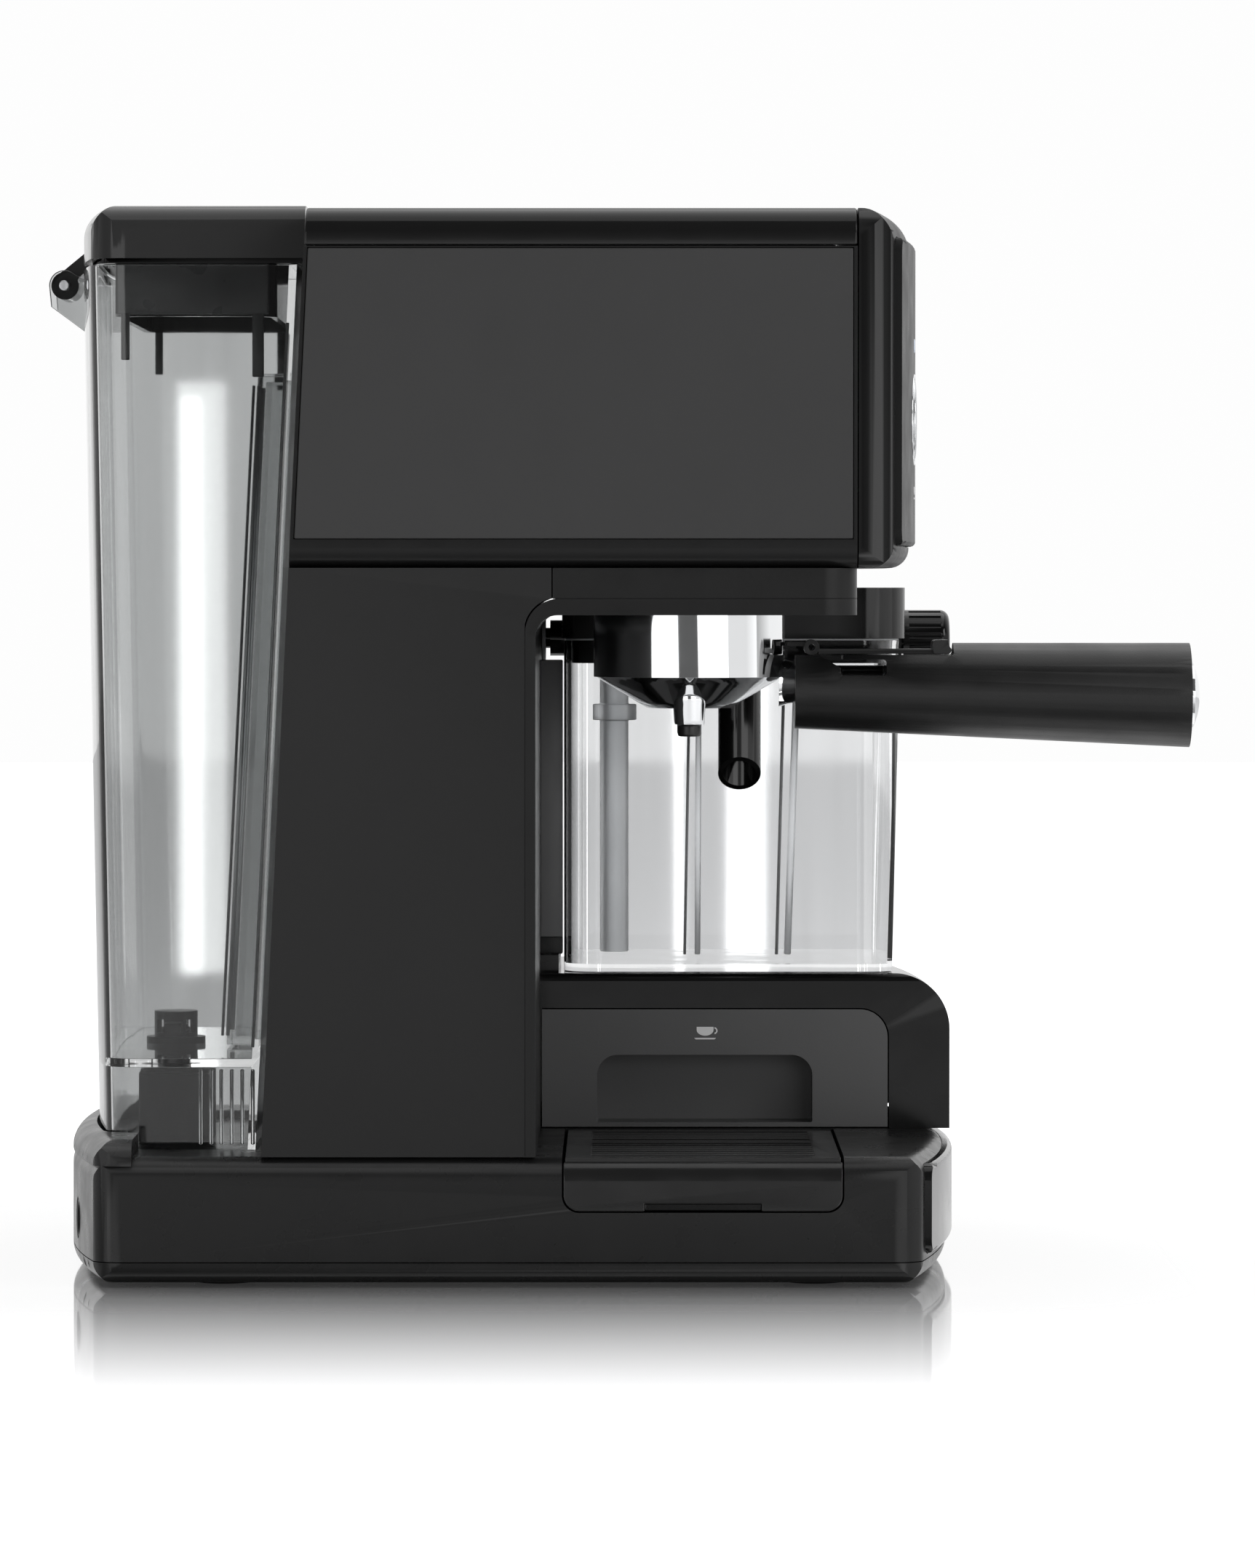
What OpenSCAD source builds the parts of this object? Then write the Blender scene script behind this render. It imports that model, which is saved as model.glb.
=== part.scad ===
// Espresso and milk coffee machine: a raised head over a cup bay, a milk
// tank on a platform beside it, and a water tank standing behind the column.
// Origin on the table under the middle of the whole machine. +Z up, front to -Y.

/* [Base] */
// Width of the base across its side faces
base_w = 225; // [190:1:270]
// Height of the base's top deck above the table
base_h = 38; // [34:1:46]
// Depth of the base from the crest of its bowed front to that of its back
base_d = 265.2; // [222:0.2:318]
// Place of the crest of the base's bowed front
base_front_y = -99; // [-110:1:-92]
// How far the base's front bows out over the whole width
base_front_sag = 11.7; // [6:0.1:16]
// How far the base's back bows out over the whole width
base_rear_sag = 13.7; // [6:0.1:16]
// Height of the seam between the base's pan and its cover
pan_seam_z = 7.6; // [6:0.1:10]
// Wall thickness of the moulded covers
wall = 2.5; // [2:0.1:3.5]
// Height of the rubber feet that show below the pan
foot_h = 1.6; // [1:0.1:4]
// Radius of one rubber foot
foot_r = 9; // [6:0.5:12]

/* [Head] */
// Height of the cup bay and column, from the base's deck to the head
column_h = 171.7; // [160:0.1:206]
// Height of the head
head_h = 104.8; // [88:0.1:126]
// Amount by which each side of the head stands in from the base's side
head_inset = 1.5; // [0:0.5:4]
// Distance from the base's front crest back to the head's front crest
head_setback = 11.4; // [8:0.1:20]
// How far the head's front bows out over the whole width
head_front_sag = 8.9; // [5:0.1:14]
// Depth of the front bezel from the crest back to its seam with the sides
bezel_d = 18.6; // [17:0.1:26]
// Depth of the glossy top cover below the head's top
top_cover_h = 11.1; // [9:0.1:16]
// Height of the dark rounded edge under the head's side panels
head_low_band = 8.4; // [7:0.1:14]
// Thickness of the side panels let into the head
side_panel_t = 1.6; // [1:0.1:1.6]
// Amount by which each side of the column stands in from the base's side
column_inset = 2.5; // [1:0.5:5]

/* [Control panel] */
// Height of the control panel
panel_h = 90; // [74:1:94]
// How far the control panel and the base's front plate stand proud
plate_proud = 2; // [1:0.1:3]
// Depth of the recess that each front plate sits in
plate_recess = 1; // [0.5:0.1:1.5]
// Distance between neighbouring buttons
button_pitch = 50; // [36:1:60]
// Radius of a button's cap
button_r = 12; // [8:0.5:14]
// How far a button travels when pressed
button_travel = 1.5; // [0.5:0.1:2]

/* [Cup bay] */
// Place of the milk platform's face that closes the cup bay
bay_x = 3; // [-6:0.5:12]
// Place of the column's front wall
column_front_y = 27.6; // [24:0.1:34]
// Thickness of the bay liner on the column's front
liner_t = 3; // [2:0.1:4]
// Thickness of the bay liner under the brew head
liner_top_t = 4.8; // [3:0.1:6]
// Height of the brew head's cover, from the head down to the liner
brew_cover_h = 9; // [7:0.1:14]
// Depth of the brew head's cover in front of the column
brew_cover_d = 89.1; // [86:0.1:96]
// Gap between the brew head's cover and the machine's middle plane
brew_cover_gap = 9; // [6:0.5:14]
// Distance from the column's side to the group head's centre
group_side = 58; // [50:0.5:64]
// Place of the group head's centre in front of the origin
group_y = -20.6; // [-26:0.1:-16]

/* [Portafilter] */
// Outer radius of the portafilter's bowl
bowl_r = 28.5; // [26:0.1:30]
// Wall thickness of the bowl
bowl_wall = 2.7; // [2:0.1:3]
// Height of the bowl's straight band, from the cone to its rim
bowl_band_h = 25.7; // [22:0.1:28]
// Height of the bowl's conical bottom
bowl_cone_h = 9.3; // [7:0.1:11]
// Radius of a spout nozzle at its root
nozzle_r = 5.1; // [4:0.1:6]
// Height of a spout nozzle's mouth below the bowl's straight band
nozzle_drop = 14; // [12:0.1:18]
// Distance between the two spout nozzles
nozzle_pitch = 28; // [22:0.5:30]
// Length of the portafilter's handle
handle_l = 118.2; // [100:0.1:140]
// Radius of the handle where it meets the neck
handle_r1 = 12.8; // [11:0.1:13]
// Radius of the handle at its end
handle_r2 = 15.6; // [14:0.1:18]
// How far the end cap stands out of the handle
end_cap_h = 2.8; // [1.5:0.1:5]
// Angle by which the portafilter turns to unlock
unlock_angle = 45; // [30:1:45]

/* [Drip tray] */
// Depth of the drip tray's front, along the machine's side
tray_w = 81.4; // [70:0.2:84]
// Place of the drip tray's middle along the machine's side
tray_y = -24.2; // [-28:0.2:-20]
// Height of the drip tray's underside above the table
tray_z = 22.4; // [14:0.2:24]
// Wall thickness of the two trays
tray_wall = 2; // [1.5:0.1:3]
// Thickness of the drip grid
grid_t = 4.3; // [3:0.1:6]
// Number of slots in the drip grid
grid_slots = 13; // [6:1:16]

/* [Milk platform] */
// Height of the milk platform above the base's deck
platform_h = 47.5; // [44:0.5:60]
// Radius of the platform's upper front corner
platform_r = 17; // [10:1:24]
// Height of the small cup tray's front
drawer_h = 36.5; // [30:0.5:40]
// How far the small cup tray pulls out
drawer_travel = 85; // [50:1:90]

/* [Milk tank] */
// Clearance from the milk tank to the platform's inner face
milk_side_gap = 5; // [4:0.5:8]
// Place of the milk tank's front wall
milk_front_y = -86.2; // [-88:0.2:-80]
// Place of the milk tank's rear wall
milk_rear_y = 17.4; // [12:0.2:19]
// Wall thickness of the milk tank
milk_wall = 2.2; // [1.5:0.1:3]
// Radius of the milk tank's upright edges
milk_corner_r = 12; // [6:1:20]
// Height of the milk tank's lid
milk_lid_h = 15.6; // [12:0.1:16]
// Radius of the froth knob
knob_r = 10; // [7:0.5:12]
// Radius of the frothed-milk spout tube
spout_r = 6.5; // [5:0.1:7]
// Length of the frothed-milk spout below its arm
spout_l = 44.2; // [30:0.1:60]
// Height difference across the spout's slanting mouth
mouth_rise = 10.2; // [0:0.1:12]

/* [Water tank] */
// Width of the water tank
tank_w = 160; // [140:1:180]
// Depth of the water tank at its top
tank_d = 67.7; // [56:0.1:82]
// Distance from the base's back crest to the tank's back wall
tank_setback = 3.5; // [2:0.1:8]
// Wall thickness of the water tank
tank_wall = 2.5; // [2:0.1:3.5]
// Lean of the tank's front wall, in millimetres back for each 100 mm down
front_lean = 4.83; // [2:0.01:6]
// Angle by which the tank's back wall leans
rear_lean = 0.97; // [0:0.01:1.5]
// Gap between the tank's front wall and the column
tank_gap = 3; // [2:0.1:6]
// Distance from the base's deck up to the tank's floor
tank_floor = 25.4; // [22:0.1:32]
// Height of the tank's lid
tank_lid_h = 15.7; // [12:0.1:20]
// How far the tank's lid stands above the head
lid_above_head = 2.1; // [0:0.1:4]
// Radius of the hinge pin's shaft
hinge_pin_r = 1.5; // [1:0.1:2]

/* [Hidden] */
$fn = 64;
bow_fn = 360;
corner_lead = 0.3;
cut = 1;
gap = 0.3;
slide_gap = 0.4;
running = 0.08;

head_z = base_h + column_h;
head_top = head_z + head_h;
head_w = base_w - 2 * head_inset;
head_front_y = base_front_y + head_setback;
head_bow_r = bow_radius(head_w / 2, head_front_sag);
bezel_seam_y = head_front_y + bezel_d;
top_seam_z = head_top - top_cover_h;
column_w = base_w - 2 * column_inset;
base_rear_y = base_front_y + base_d;
base_front_r = bow_radius(base_w / 2, base_front_sag);
base_rear_r = bow_radius(base_w / 2, base_rear_sag);
edge_r = 8;
low_edge_r = 6;
corner_r = 10;
base_edge_r = 7;

panel_z0 = head_z + 6.5;
button_z = panel_z0 + 0.42 * panel_h;
lens_z = button_z + button_r + 10;
lens_r = 2.2;
board_y = head_front_y + 17.2;

liner_z = head_z - brew_cover_h - liner_top_t;
liner_y = column_front_y - liner_t;
brew_x0 = -column_w / 2;
brew_x1 = -brew_cover_gap;
brew_y0 = liner_y + 0.2 - brew_cover_d - 4.9;
group_x = -base_w / 2 + group_side + column_inset;
group_r = 38;
cavity_r = bowl_r + 4.3;
rim_z = liner_z + 7.1;
bowl_z = rim_z - bowl_band_h;
cone_z = bowl_z - bowl_cone_h;
cone_r = 12.6;
nozzle_z = bowl_z - nozzle_drop;
tip_h = 3.6;
neck_r = 5;
neck_z = bowl_z - 1.6;
handle_y = group_y - bowl_r - 3;
handle_z = neck_z - 1.1;
handle_tilt = atan((handle_r2 - handle_r1) / handle_l);
neck_l = 33;
clip_y = handle_y - 5;
clip_z = handle_z + handle_r1 - 0.3;

tray_x0 = -base_w / 2;
tray_x1 = bay_x - 2.2;
deck_z = base_h;
grid_z = deck_z - 0.2 - grid_t;
platform_z = deck_z + platform_h;
drawer_y0 = -82;
drawer_y1 = liner_y - 0.6;
milk_x0 = bay_x + milk_side_gap;
milk_x1 = base_w / 2 - 7.5;
milk_rim_z = liner_z - 8.3;
milk_lid_z = milk_rim_z + 0.6;
milk_lid_top = milk_lid_z + milk_lid_h;
milk_mid_x = (milk_x0 + milk_x1) / 2;
knob_z = milk_rim_z - 0.8;
connector_z = milk_rim_z + 0.4;
spout_pin_x = bay_x - 2;
spout_x = spout_pin_x - 17;
spout_y = -36.2;
spout_top_z = liner_z - 1.4;

tank_rear_y = base_rear_y - tank_setback;
tank_top_z = head_top + lid_above_head - tank_lid_h - 1.9;
tank_z = deck_z - 2;
floor_z = deck_z + tank_floor;
tank_front_y = tank_rear_y - tank_d;
tank_bow_r = base_rear_r * 0.93;
valve_y = tank_rear_y - 26.7;
pedestal_z = deck_z + 20;
hinge_y = tank_rear_y + 5.9;
hinge_z = tank_top_z - 3.5;
ear_r = 4.6;
lid_z = tank_top_z + 1.9;
lid_top = lid_z + tank_lid_h;

function bow_radius(half, sag) = (half * half + sag * sag) / (2 * sag);
function bow_drop(r, x) = r - sqrt(r * r - x * x);
function tank_wall_y(z) = tank_front_y + (tank_top_z - z) * front_lean / 100;
function body_rear_y(z) = tank_wall_y(z) - tank_gap;
function button_x(i) = (i - 1) * button_pitch;
function panel_y(x) = head_front_y - plate_proud + bow_drop(head_bow_r + plate_proud, x);

// A flat shape drawn in Y and Z, carried along X
module along_x(x0, x1) translate([x0, 0, 0]) rotate([90, 0, 90]) linear_extrude(x1 - x0) children();

// A flat shape drawn in X and Z, carried along Y
module along_y(y0, y1) translate([0, y1, 0]) rotate([90, 0, 0]) linear_extrude(y1 - y0) children();

// A flat shape drawn in X and Y, carried along Z
module along_z(z0, z1) translate([0, 0, z0]) linear_extrude(z1 - z0) children();

module slab(p, q) translate(p) cube(q - p);

// A rod from one point to another, along X, Y or Z
module rod_x(x0, x1, y, z, r) translate([x0, y, z]) rotate([0, 90, 0]) cylinder(x1 - x0, r = r);
module rod_y(y0, y1, x, z, r) translate([x, y1, z]) rotate([90, 0, 0]) cylinder(y1 - y0, r = r);
module rod_z(z0, z1, x, y, r) translate([x, y, z0]) cylinder(z1 - z0, r = r);

// The sliver between a square corner and the arc that rounds it
module corner_cut(x, y, dx, dy, r) difference() {
    translate([dx > 0 ? x - cut : x - r, dy > 0 ? y - cut : y - r]) square(r + cut);
    translate([x + dx * r, y + dy * r]) circle(r);
}

// A rectangle with its own radius at each corner
module corner_rect(x0, y0, x1, y1, low_left, low_right, top_right, top_left) difference() {
    translate([x0, y0]) square([x1 - x0, y1 - y0]);
    if (low_left > 0) corner_cut(x0, y0, 1, 1, low_left);
    if (low_right > 0) corner_cut(x1, y0, -1, 1, low_right);
    if (top_right > 0) corner_cut(x1, y1, -1, -1, top_right);
    if (top_left > 0) corner_cut(x0, y1, 1, -1, top_left);
}

module round_rect(x0, y0, x1, y1, r) corner_rect(x0, y0, x1, y1, r, r, r, r);

// Plan of a housing with rounded corners, left square where its front, and
// perhaps its back, bow outwards. A rear_r of 0 means a flat back.
module bowed_blank(w, front_y, front_r, rear_y, rear_r, corner) {
    side = w / 2 - corner;
    front_edge = front_y + bow_drop(front_r, side) - corner_lead;
    rear_edge = rear_r > 0 ? rear_y - bow_drop(rear_r, side) + corner_lead : rear_y;
    rear_corner = rear_r > 0 ? corner : 0;
    corner_rect(-w / 2, front_edge, w / 2, rear_edge, corner, corner, rear_corner, rear_corner);
    translate([-side, front_y - 5]) square([2 * side, front_edge - front_y + 10]);
    if (rear_r > 0) translate([-side, rear_edge - 5]) square([2 * side, rear_y - rear_edge + 10]);
}

// The same plan with its back bowed
module rear_bowed_plan(w, front_y, rear_y, rear_r, corner) intersection() {
    bowed_blank(w, front_y, 900, rear_y, rear_r, corner);
    translate([0, rear_y - rear_r]) circle(rear_r, $fn = bow_fn);
}

// Everything behind a bowed front whose upper and lower edges are rounded
module bow_body(crest_y, r, dir, z0, z1, low_r, top_r) translate([0, crest_y + dir * r, 0])
    rotate_extrude($fn = bow_fn) corner_rect(r - 340, z0, r, z1, 0, low_r, top_r, 0);

// A plate that follows a bowed front, standing proud of it
module bow_plate(crest_y, r, half_w, z0, z1, corner) intersection() {
    difference() {
        bow_body(crest_y - plate_proud, r + plate_proud, 1, z0, z1, 1.5, 1.5);
        bow_body(crest_y + plate_recess, r - plate_recess, 1, z0 - cut, z1 + cut, 0, 0);
    }
    along_y(crest_y - plate_proud - cut, crest_y + 40) round_rect(-half_w, z0, half_w, z1, corner);
}

// The recess that takes such a plate
module bow_recess(crest_y, r, half_w, z0, z1, corner) difference() {
    along_y(crest_y - 10, crest_y + 40)
        round_rect(-half_w - gap, z0 - gap, half_w + gap, z1 + gap, corner + gap);
    bow_body(crest_y + plate_recess, r - plate_recess, 1, z0 - 2, z1 + 2, 0, 0);
}

// Everything in front of the plane that leans with the water tank
module ahead_of_tank(t) along_x(-base_w, base_w) polygon([
    [base_front_y - 50, -10], [body_rear_y(-10) - t, -10],
    [body_rear_y(500) - t, 500], [base_front_y - 50, 500]
]);

module head_form(t) intersection() {
    along_z(head_z + t, head_top - t) bowed_blank(
        head_w - 2 * t, head_front_y + t, head_bow_r - t, body_rear_y(head_z) + 20, 0, corner_r - t);
    bow_body(head_front_y + t, head_bow_r - t, 1, head_z + t, head_top - t,
        low_edge_r - t, corner_r - t);
    along_y(head_front_y - cut, body_rear_y(head_z) + 30) corner_rect(
        -head_w / 2 + t, head_z + t, head_w / 2 - t, head_top - t,
        low_edge_r - t, low_edge_r - t, edge_r - t, edge_r - t);
    ahead_of_tank(t);
}

module column_form(t) intersection() {
    slab([-column_w / 2 + t, column_front_y + t, deck_z - 5], [column_w / 2 - t, 300, head_z + 5]);
    ahead_of_tank(t);
}

module base_form(t, top_z) intersection() {
    along_z(foot_h - 0.4 + t, top_z - t) bowed_blank(base_w - 2 * t, base_front_y + t,
        base_front_r - t, base_rear_y - t, base_rear_r - t, corner_r - t);
    bow_body(base_front_y + t, base_front_r - t, 1, foot_h - 0.4 + t, top_z - t,
        low_edge_r - t, low_edge_r - t);
    bow_body(base_rear_y - t, base_rear_r - t, -1, foot_h - 0.4 + t, top_z - t,
        low_edge_r - t, base_edge_r - t);
    along_y(base_front_y - cut, base_rear_y + cut) corner_rect(
        -base_w / 2 + t, foot_h - 0.4 + t, base_w / 2 - t, top_z - t,
        low_edge_r - t, low_edge_r - t, base_edge_r - t, base_edge_r - t);
}

// The water tank's outside, t in from its walls, between two heights
module tank_form(t, z0, z1) intersection() {
    translate([0, tank_rear_y, tank_top_z]) rotate([-rear_lean, 0, 0])
        translate([0, -tank_rear_y, -tank_top_z]) along_z(z0 - 20, z1 + 20)
        rear_bowed_plan(tank_w - 2 * t, tank_front_y - 60, tank_rear_y - t, tank_bow_r - t, corner_r + 2 - t);
    along_x(-base_w, base_w) polygon([
        [tank_wall_y(z0) + t, z0], [tank_rear_y + 20, z0],
        [tank_rear_y + 20, z1], [tank_wall_y(z1) + t, z1]
    ]);
}

// A hose: each of its points pulls a smooth bend, and rings of eight sides
// follow it. The side vector is never in line with the hose.
hose_sides = 8;
bend_steps = 6;

function bend_start(p, i) = i == 1 ? p[0] : (p[i - 1] + p[i]) / 2;
function bend_end(p, i) = i == len(p) - 2 ? p[i + 1] : (p[i] + p[i + 1]) / 2;
function bend_point(p, i, t) =
    (1 - t) * (1 - t) * bend_start(p, i) + 2 * t * (1 - t) * p[i] + t * t * bend_end(p, i);
function bend_slope(p, i, t) = (1 - t) * (p[i] - bend_start(p, i)) + t * (bend_end(p, i) - p[i]);
function unit(v) = v / norm(v);

function hose_ring(at, slope, side, r) = let (u = unit(cross(slope, side)), v = unit(cross(slope, u)))
    [for (k = [0:hose_sides - 1]) at + r * (cos(k * 360 / hose_sides) * u + sin(k * 360 / hose_sides) * v)];

module hose(p, r, side) {
    stations = [
        for (i = [1:len(p) - 2], s = [0:bend_steps - (i == len(p) - 2 ? 0 : 1)]) [i, s / bend_steps]
    ];
    rings = [for (s = stations)
        each hose_ring(bend_point(p, s[0], s[1]), bend_slope(p, s[0], s[1]), side, r)];
    last = len(stations) - 1;
    polyhedron(points = rings, faces = concat(
        [for (i = [0:last - 1], k = [0:hose_sides - 1]) let (next = (k + 1) % hose_sides)
            [i * hose_sides + k, (i + 1) * hose_sides + k,
                (i + 1) * hose_sides + next, i * hose_sides + next]],
        [[for (k = [0:hose_sides - 1]) k]],
        [[for (k = [hose_sides - 1:-1:0]) last * hose_sides + k]]));
}

// ---- Base ----

screw_spots = [
    for (x = [-1, 1], y = [base_front_y + 26, base_rear_y - 30]) [x * (base_w / 2 - 17), y]
];
foot_spots = [
    for (x = [-1, 1], y = [base_front_y + 42, base_rear_y - 50]) [x * (base_w / 2 - 22), y]
];
screw_r = 1.7;

module base_pan() color("#0c0c0d") difference() {
    intersection() {
        base_form(0, base_h);
        slab([-base_w, base_front_y - cut, 0], [base_w, base_rear_y + cut, pan_seam_z - 0.3]);
    }
    intersection() {
        base_form(wall, base_h);
        slab([-base_w, base_front_y, foot_h + wall - 0.4], [base_w, base_rear_y, base_h]);
    }
    for (s = foot_spots) rod_z(0, foot_h + 1, s[0], s[1], foot_r + 0.2);
    for (s = screw_spots) {
        rod_z(0, 10, s[0], s[1], screw_r + 0.1);
        rod_z(0, foot_h + 0.8, s[0], s[1], 3.4);
    }
}

module feet() color("#1c1c1d")
    for (s = foot_spots) translate([s[0], s[1], 0]) rotate_extrude()
        corner_rect(0, 0, foot_r, foot_h + 1, 0, 0.8, 0, 0);

module housing_screws() color("silver") for (s = screw_spots) {
    rod_z(foot_h - 0.2, foot_h + 0.8, s[0], s[1], 3.1);
    rod_z(foot_h + 0.8, 16, s[0], s[1], screw_r);
}

// Hollow that the drip tray slides in, open above and at the machine's side
module tray_well() along_x(-base_w / 2 - cut, tray_x1 + slide_gap) corner_rect(
    tray_y - tray_w / 2 - slide_gap, tray_z - slide_gap, tray_y + tray_w / 2 + slide_gap,
    deck_z + cut, 5, 5, 0, 0);

switch_y = base_rear_y - 60;
switch_z = 21;
inlet_x = -base_w / 2 + 42;
inlet_z = 17;

module base_shell() color("#141416") difference() {
    union() {
        difference() {
            intersection() {
                base_form(0, base_h);
                slab([-base_w, base_front_y - cut, pan_seam_z], [base_w, base_rear_y + cut, base_h + cut]);
            }
            intersection() {
                base_form(wall, base_h);
                slab([-base_w, base_front_y, 0], [base_w, base_rear_y, base_h]);
            }
        }
        intersection() {
            base_form(1, base_h);
            slab([-base_w / 2, tray_y - tray_w / 2 - 3, tray_z - 3],
                [tray_x1 + 3, tray_y + tray_w / 2 + 3, deck_z - 1]);
        }
        intersection() {
            base_form(1, base_h);
            tank_form(-4, deck_z - 6, deck_z - 1);
        }
        rear_lip();
        for (s = screw_spots) rod_z(foot_h + wall, base_h - 1.5, s[0], s[1], 4.5);
    }
    tray_well();
    tank_form(-0.8, deck_z - 2.6, deck_z + 30);
    for (s = screw_spots) rod_z(0, 17, s[0], s[1], screw_r + 0.05);
    rod_z(deck_z - 8, deck_z + 5, 0, valve_y, 3.4);
    rod_z(deck_z - 8, deck_z + 5, pump_x0 + 8, pump_y, 6);
    slab([base_w / 2 - 10, switch_y - 8.2, switch_z - 9.7],
        [base_w / 2 + cut, switch_y + 8.2, switch_z + 9.7]);
    rod_y(base_rear_y - 20, base_rear_y + 5, inlet_x, inlet_z, 6.2);
    bow_recess(base_front_y, base_front_r, base_w / 2 - 9, pan_seam_z + 1.5, base_h - 2.5, 5);
}

// Raised lip that holds the back of the water tank
module rear_lip() intersection() {
    base_form(0, base_h + 5);
    slab([-base_w / 2, base_rear_y - 24, base_h - wall], [base_w / 2, base_rear_y + cut, base_h + 6]);
}

module base_front_plate() color("#0e0e10")
    bow_plate(base_front_y, base_front_r, base_w / 2 - 9, pan_seam_z + 1.5, base_h - 2.5, 5);

module cord_inlet() color("#101011") difference() {
    union() {
        rod_y(base_rear_y - 20.3, base_rear_y - 5.5, inlet_x, inlet_z, 6);
        rod_y(base_rear_y - 20.3, base_rear_y - 17.3, inlet_x, inlet_z, 8.5);
    }
    rod_y(base_rear_y - 21, base_rear_y, inlet_x, inlet_z, 3.6);
}

module power_switch_frame() color("#0d0d0e") difference() {
    union() {
        slab([base_w / 2 - 9, switch_y - 8, switch_z - 9.5], [base_w / 2, switch_y + 8, switch_z + 9.5]);
        slab([base_w / 2, switch_y - 9.5, switch_z - 11], [base_w / 2 + 1, switch_y + 9.5, switch_z + 11]);
    }
    slab([base_w / 2 - 8, switch_y - 6.4, switch_z - 8.6], [base_w / 2 + 2, switch_y + 6.4, switch_z + 8.6]);
    rod_y(switch_y - 7.6, switch_y + 7.6, base_w / 2 - 4, switch_z, 1.2 + running);
}

module power_switch() color("#262628") translate([base_w / 2 - 4, 0, switch_z]) rotate([0, 6, 0])
    union() {
        along_y(switch_y - 6, switch_y + 6) difference() {
            round_rect(-3, -7.6, 5.2, 7.6, 1);
            translate([29.2, 0]) circle(25, $fn = 120);
        }
        rod_y(switch_y - 7.4, switch_y + 7.4, 0, 0, 1.2);
    }

// ---- Column and head ----

pump_x0 = 12;
pump_y = column_front_y + 32;
pump_z = deck_z + 44;
pump_r = 17;
socket_x = milk_mid_x;
boiler_z = head_z + 13;
boiler_h = 36;
valve_x = 34;

module column_shell() color("#232326") difference() {
    union() {
        intersection() {
            column_form(0);
            slab([-column_w, 0, deck_z], [column_w, 300, head_z]);
        }
        along_x(-column_w / 2, brew_x1 - 1 - gap) difference() {
            translate([column_front_y - 7.7, liner_z + liner_top_t - corner_r])
                square([7.7 + cut, corner_r + brew_cover_h]);
            corner_rect(brew_y0, deck_z, column_front_y + gap, liner_z + liner_top_t + gap,
                0, 0, corner_r, 0);
        }
    }
    column_form(wall);
    rod_y(column_front_y - 1, column_front_y + 5, socket_x, connector_z, 5.2);
}

module head_shell() color("#0f0f11") difference() {
    intersection() {
        head_form(0);
        slab([-head_w, bezel_seam_y, 0], [head_w, 300, top_seam_z - 0.3]);
    }
    intersection() {
        head_form(wall);
        slab([-head_w, bezel_seam_y - cut, 0], [head_w, 300, head_top]);
    }
    for (side = [-1, 1]) side_panel_blank(side, gap / 2);
    rod_z(head_z - cut, head_z + 5, group_x, group_y, group_r + 0.4);
    slab([-column_w / 2 + 6, column_front_y + 6, head_z - cut],
        [column_w / 2 - 6, body_rear_y(head_z) - 6, head_z + 5]);
}

// The block that a side panel fills, grown by a clearance
module side_panel_blank(side, grow) intersection() {
    slab([side > 0 ? head_w / 2 - side_panel_t - grow : -head_w / 2 - (grow > 0 ? cut : 0),
            bezel_seam_y + 1.2 - grow, head_z + head_low_band - grow],
        [side > 0 ? head_w / 2 + (grow > 0 ? cut : 0) : -head_w / 2 + side_panel_t + grow,
            200, top_seam_z - 0.8 + grow]);
    ahead_of_tank(1.2 - grow);
}

module side_panel(side) color("#2e2e31") intersection() {
    side_panel_blank(side, 0);
    head_form(0);
}

module left_side_panel() side_panel(-1);

module right_side_panel() side_panel(1);

module top_cover() color("#0b0b0c") difference() {
    intersection() {
        head_form(0);
        slab([-head_w, bezel_seam_y, top_seam_z], [head_w, 300, head_top + cut]);
    }
    intersection() {
        head_form(wall);
        slab([-head_w, bezel_seam_y - cut, 0], [head_w, 300, head_top]);
    }
}

module front_bezel() color("#0d0d0f") difference() {
    intersection() {
        head_form(0);
        slab([-head_w, head_front_y - cut, 0], [head_w, bezel_seam_y - 0.4, head_top + cut]);
    }
    intersection() {
        head_form(wall + 1);
        slab([-head_w, head_front_y, 0], [head_w, bezel_seam_y, head_top]);
    }
    bow_recess(head_front_y, head_bow_r, panel_half_w, panel_z0, panel_z0 + panel_h, 5);
    for (i = [0:2]) {
        rod_y(head_front_y - 5, head_front_y + 12, button_x(i), button_z, button_r + 0.5);
        rod_y(head_front_y - 5, head_front_y + 12, button_x(i), lens_z, lens_r + 0.1);
    }
}

panel_half_w = head_w / 2 - corner_r;

module control_panel() color("#08080a") difference() {
    bow_plate(head_front_y, head_bow_r, panel_half_w, panel_z0, panel_z0 + panel_h, 5);
    for (i = [0:2]) {
        rod_y(head_front_y - 8, head_front_y + 12, button_x(i), button_z, button_r + 0.5);
        rod_y(head_front_y - 8, head_front_y + 12, button_x(i), lens_z, lens_r + 0.1);
    }
}

// A button: domed cap in the panel, collar behind it, stem to its switch
module button(i) color("#b9bbbe") translate([button_x(i), panel_y(button_x(i)), button_z]) {
    rotate([90, 0, 0]) rotate_extrude()
        corner_rect(0, -8, button_r, 0.4, 0, 0, 0.8, 0);
    rod_y(8 - cut, 9.2, 0, 0, button_r + 2);
    rod_y(9.2 - cut, board_y - 3.4 - panel_y(button_x(i)), 0, 0, 3);
}

module espresso_button() button(0);

module cappuccino_button() button(1);

module latte_button() button(2);

module indicator_lenses() color("#dfe8ff") for (i = [0:2])
    rod_y(panel_y(button_x(i)) - 0.2, head_front_y + 7, button_x(i), lens_z, lens_r);

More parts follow.
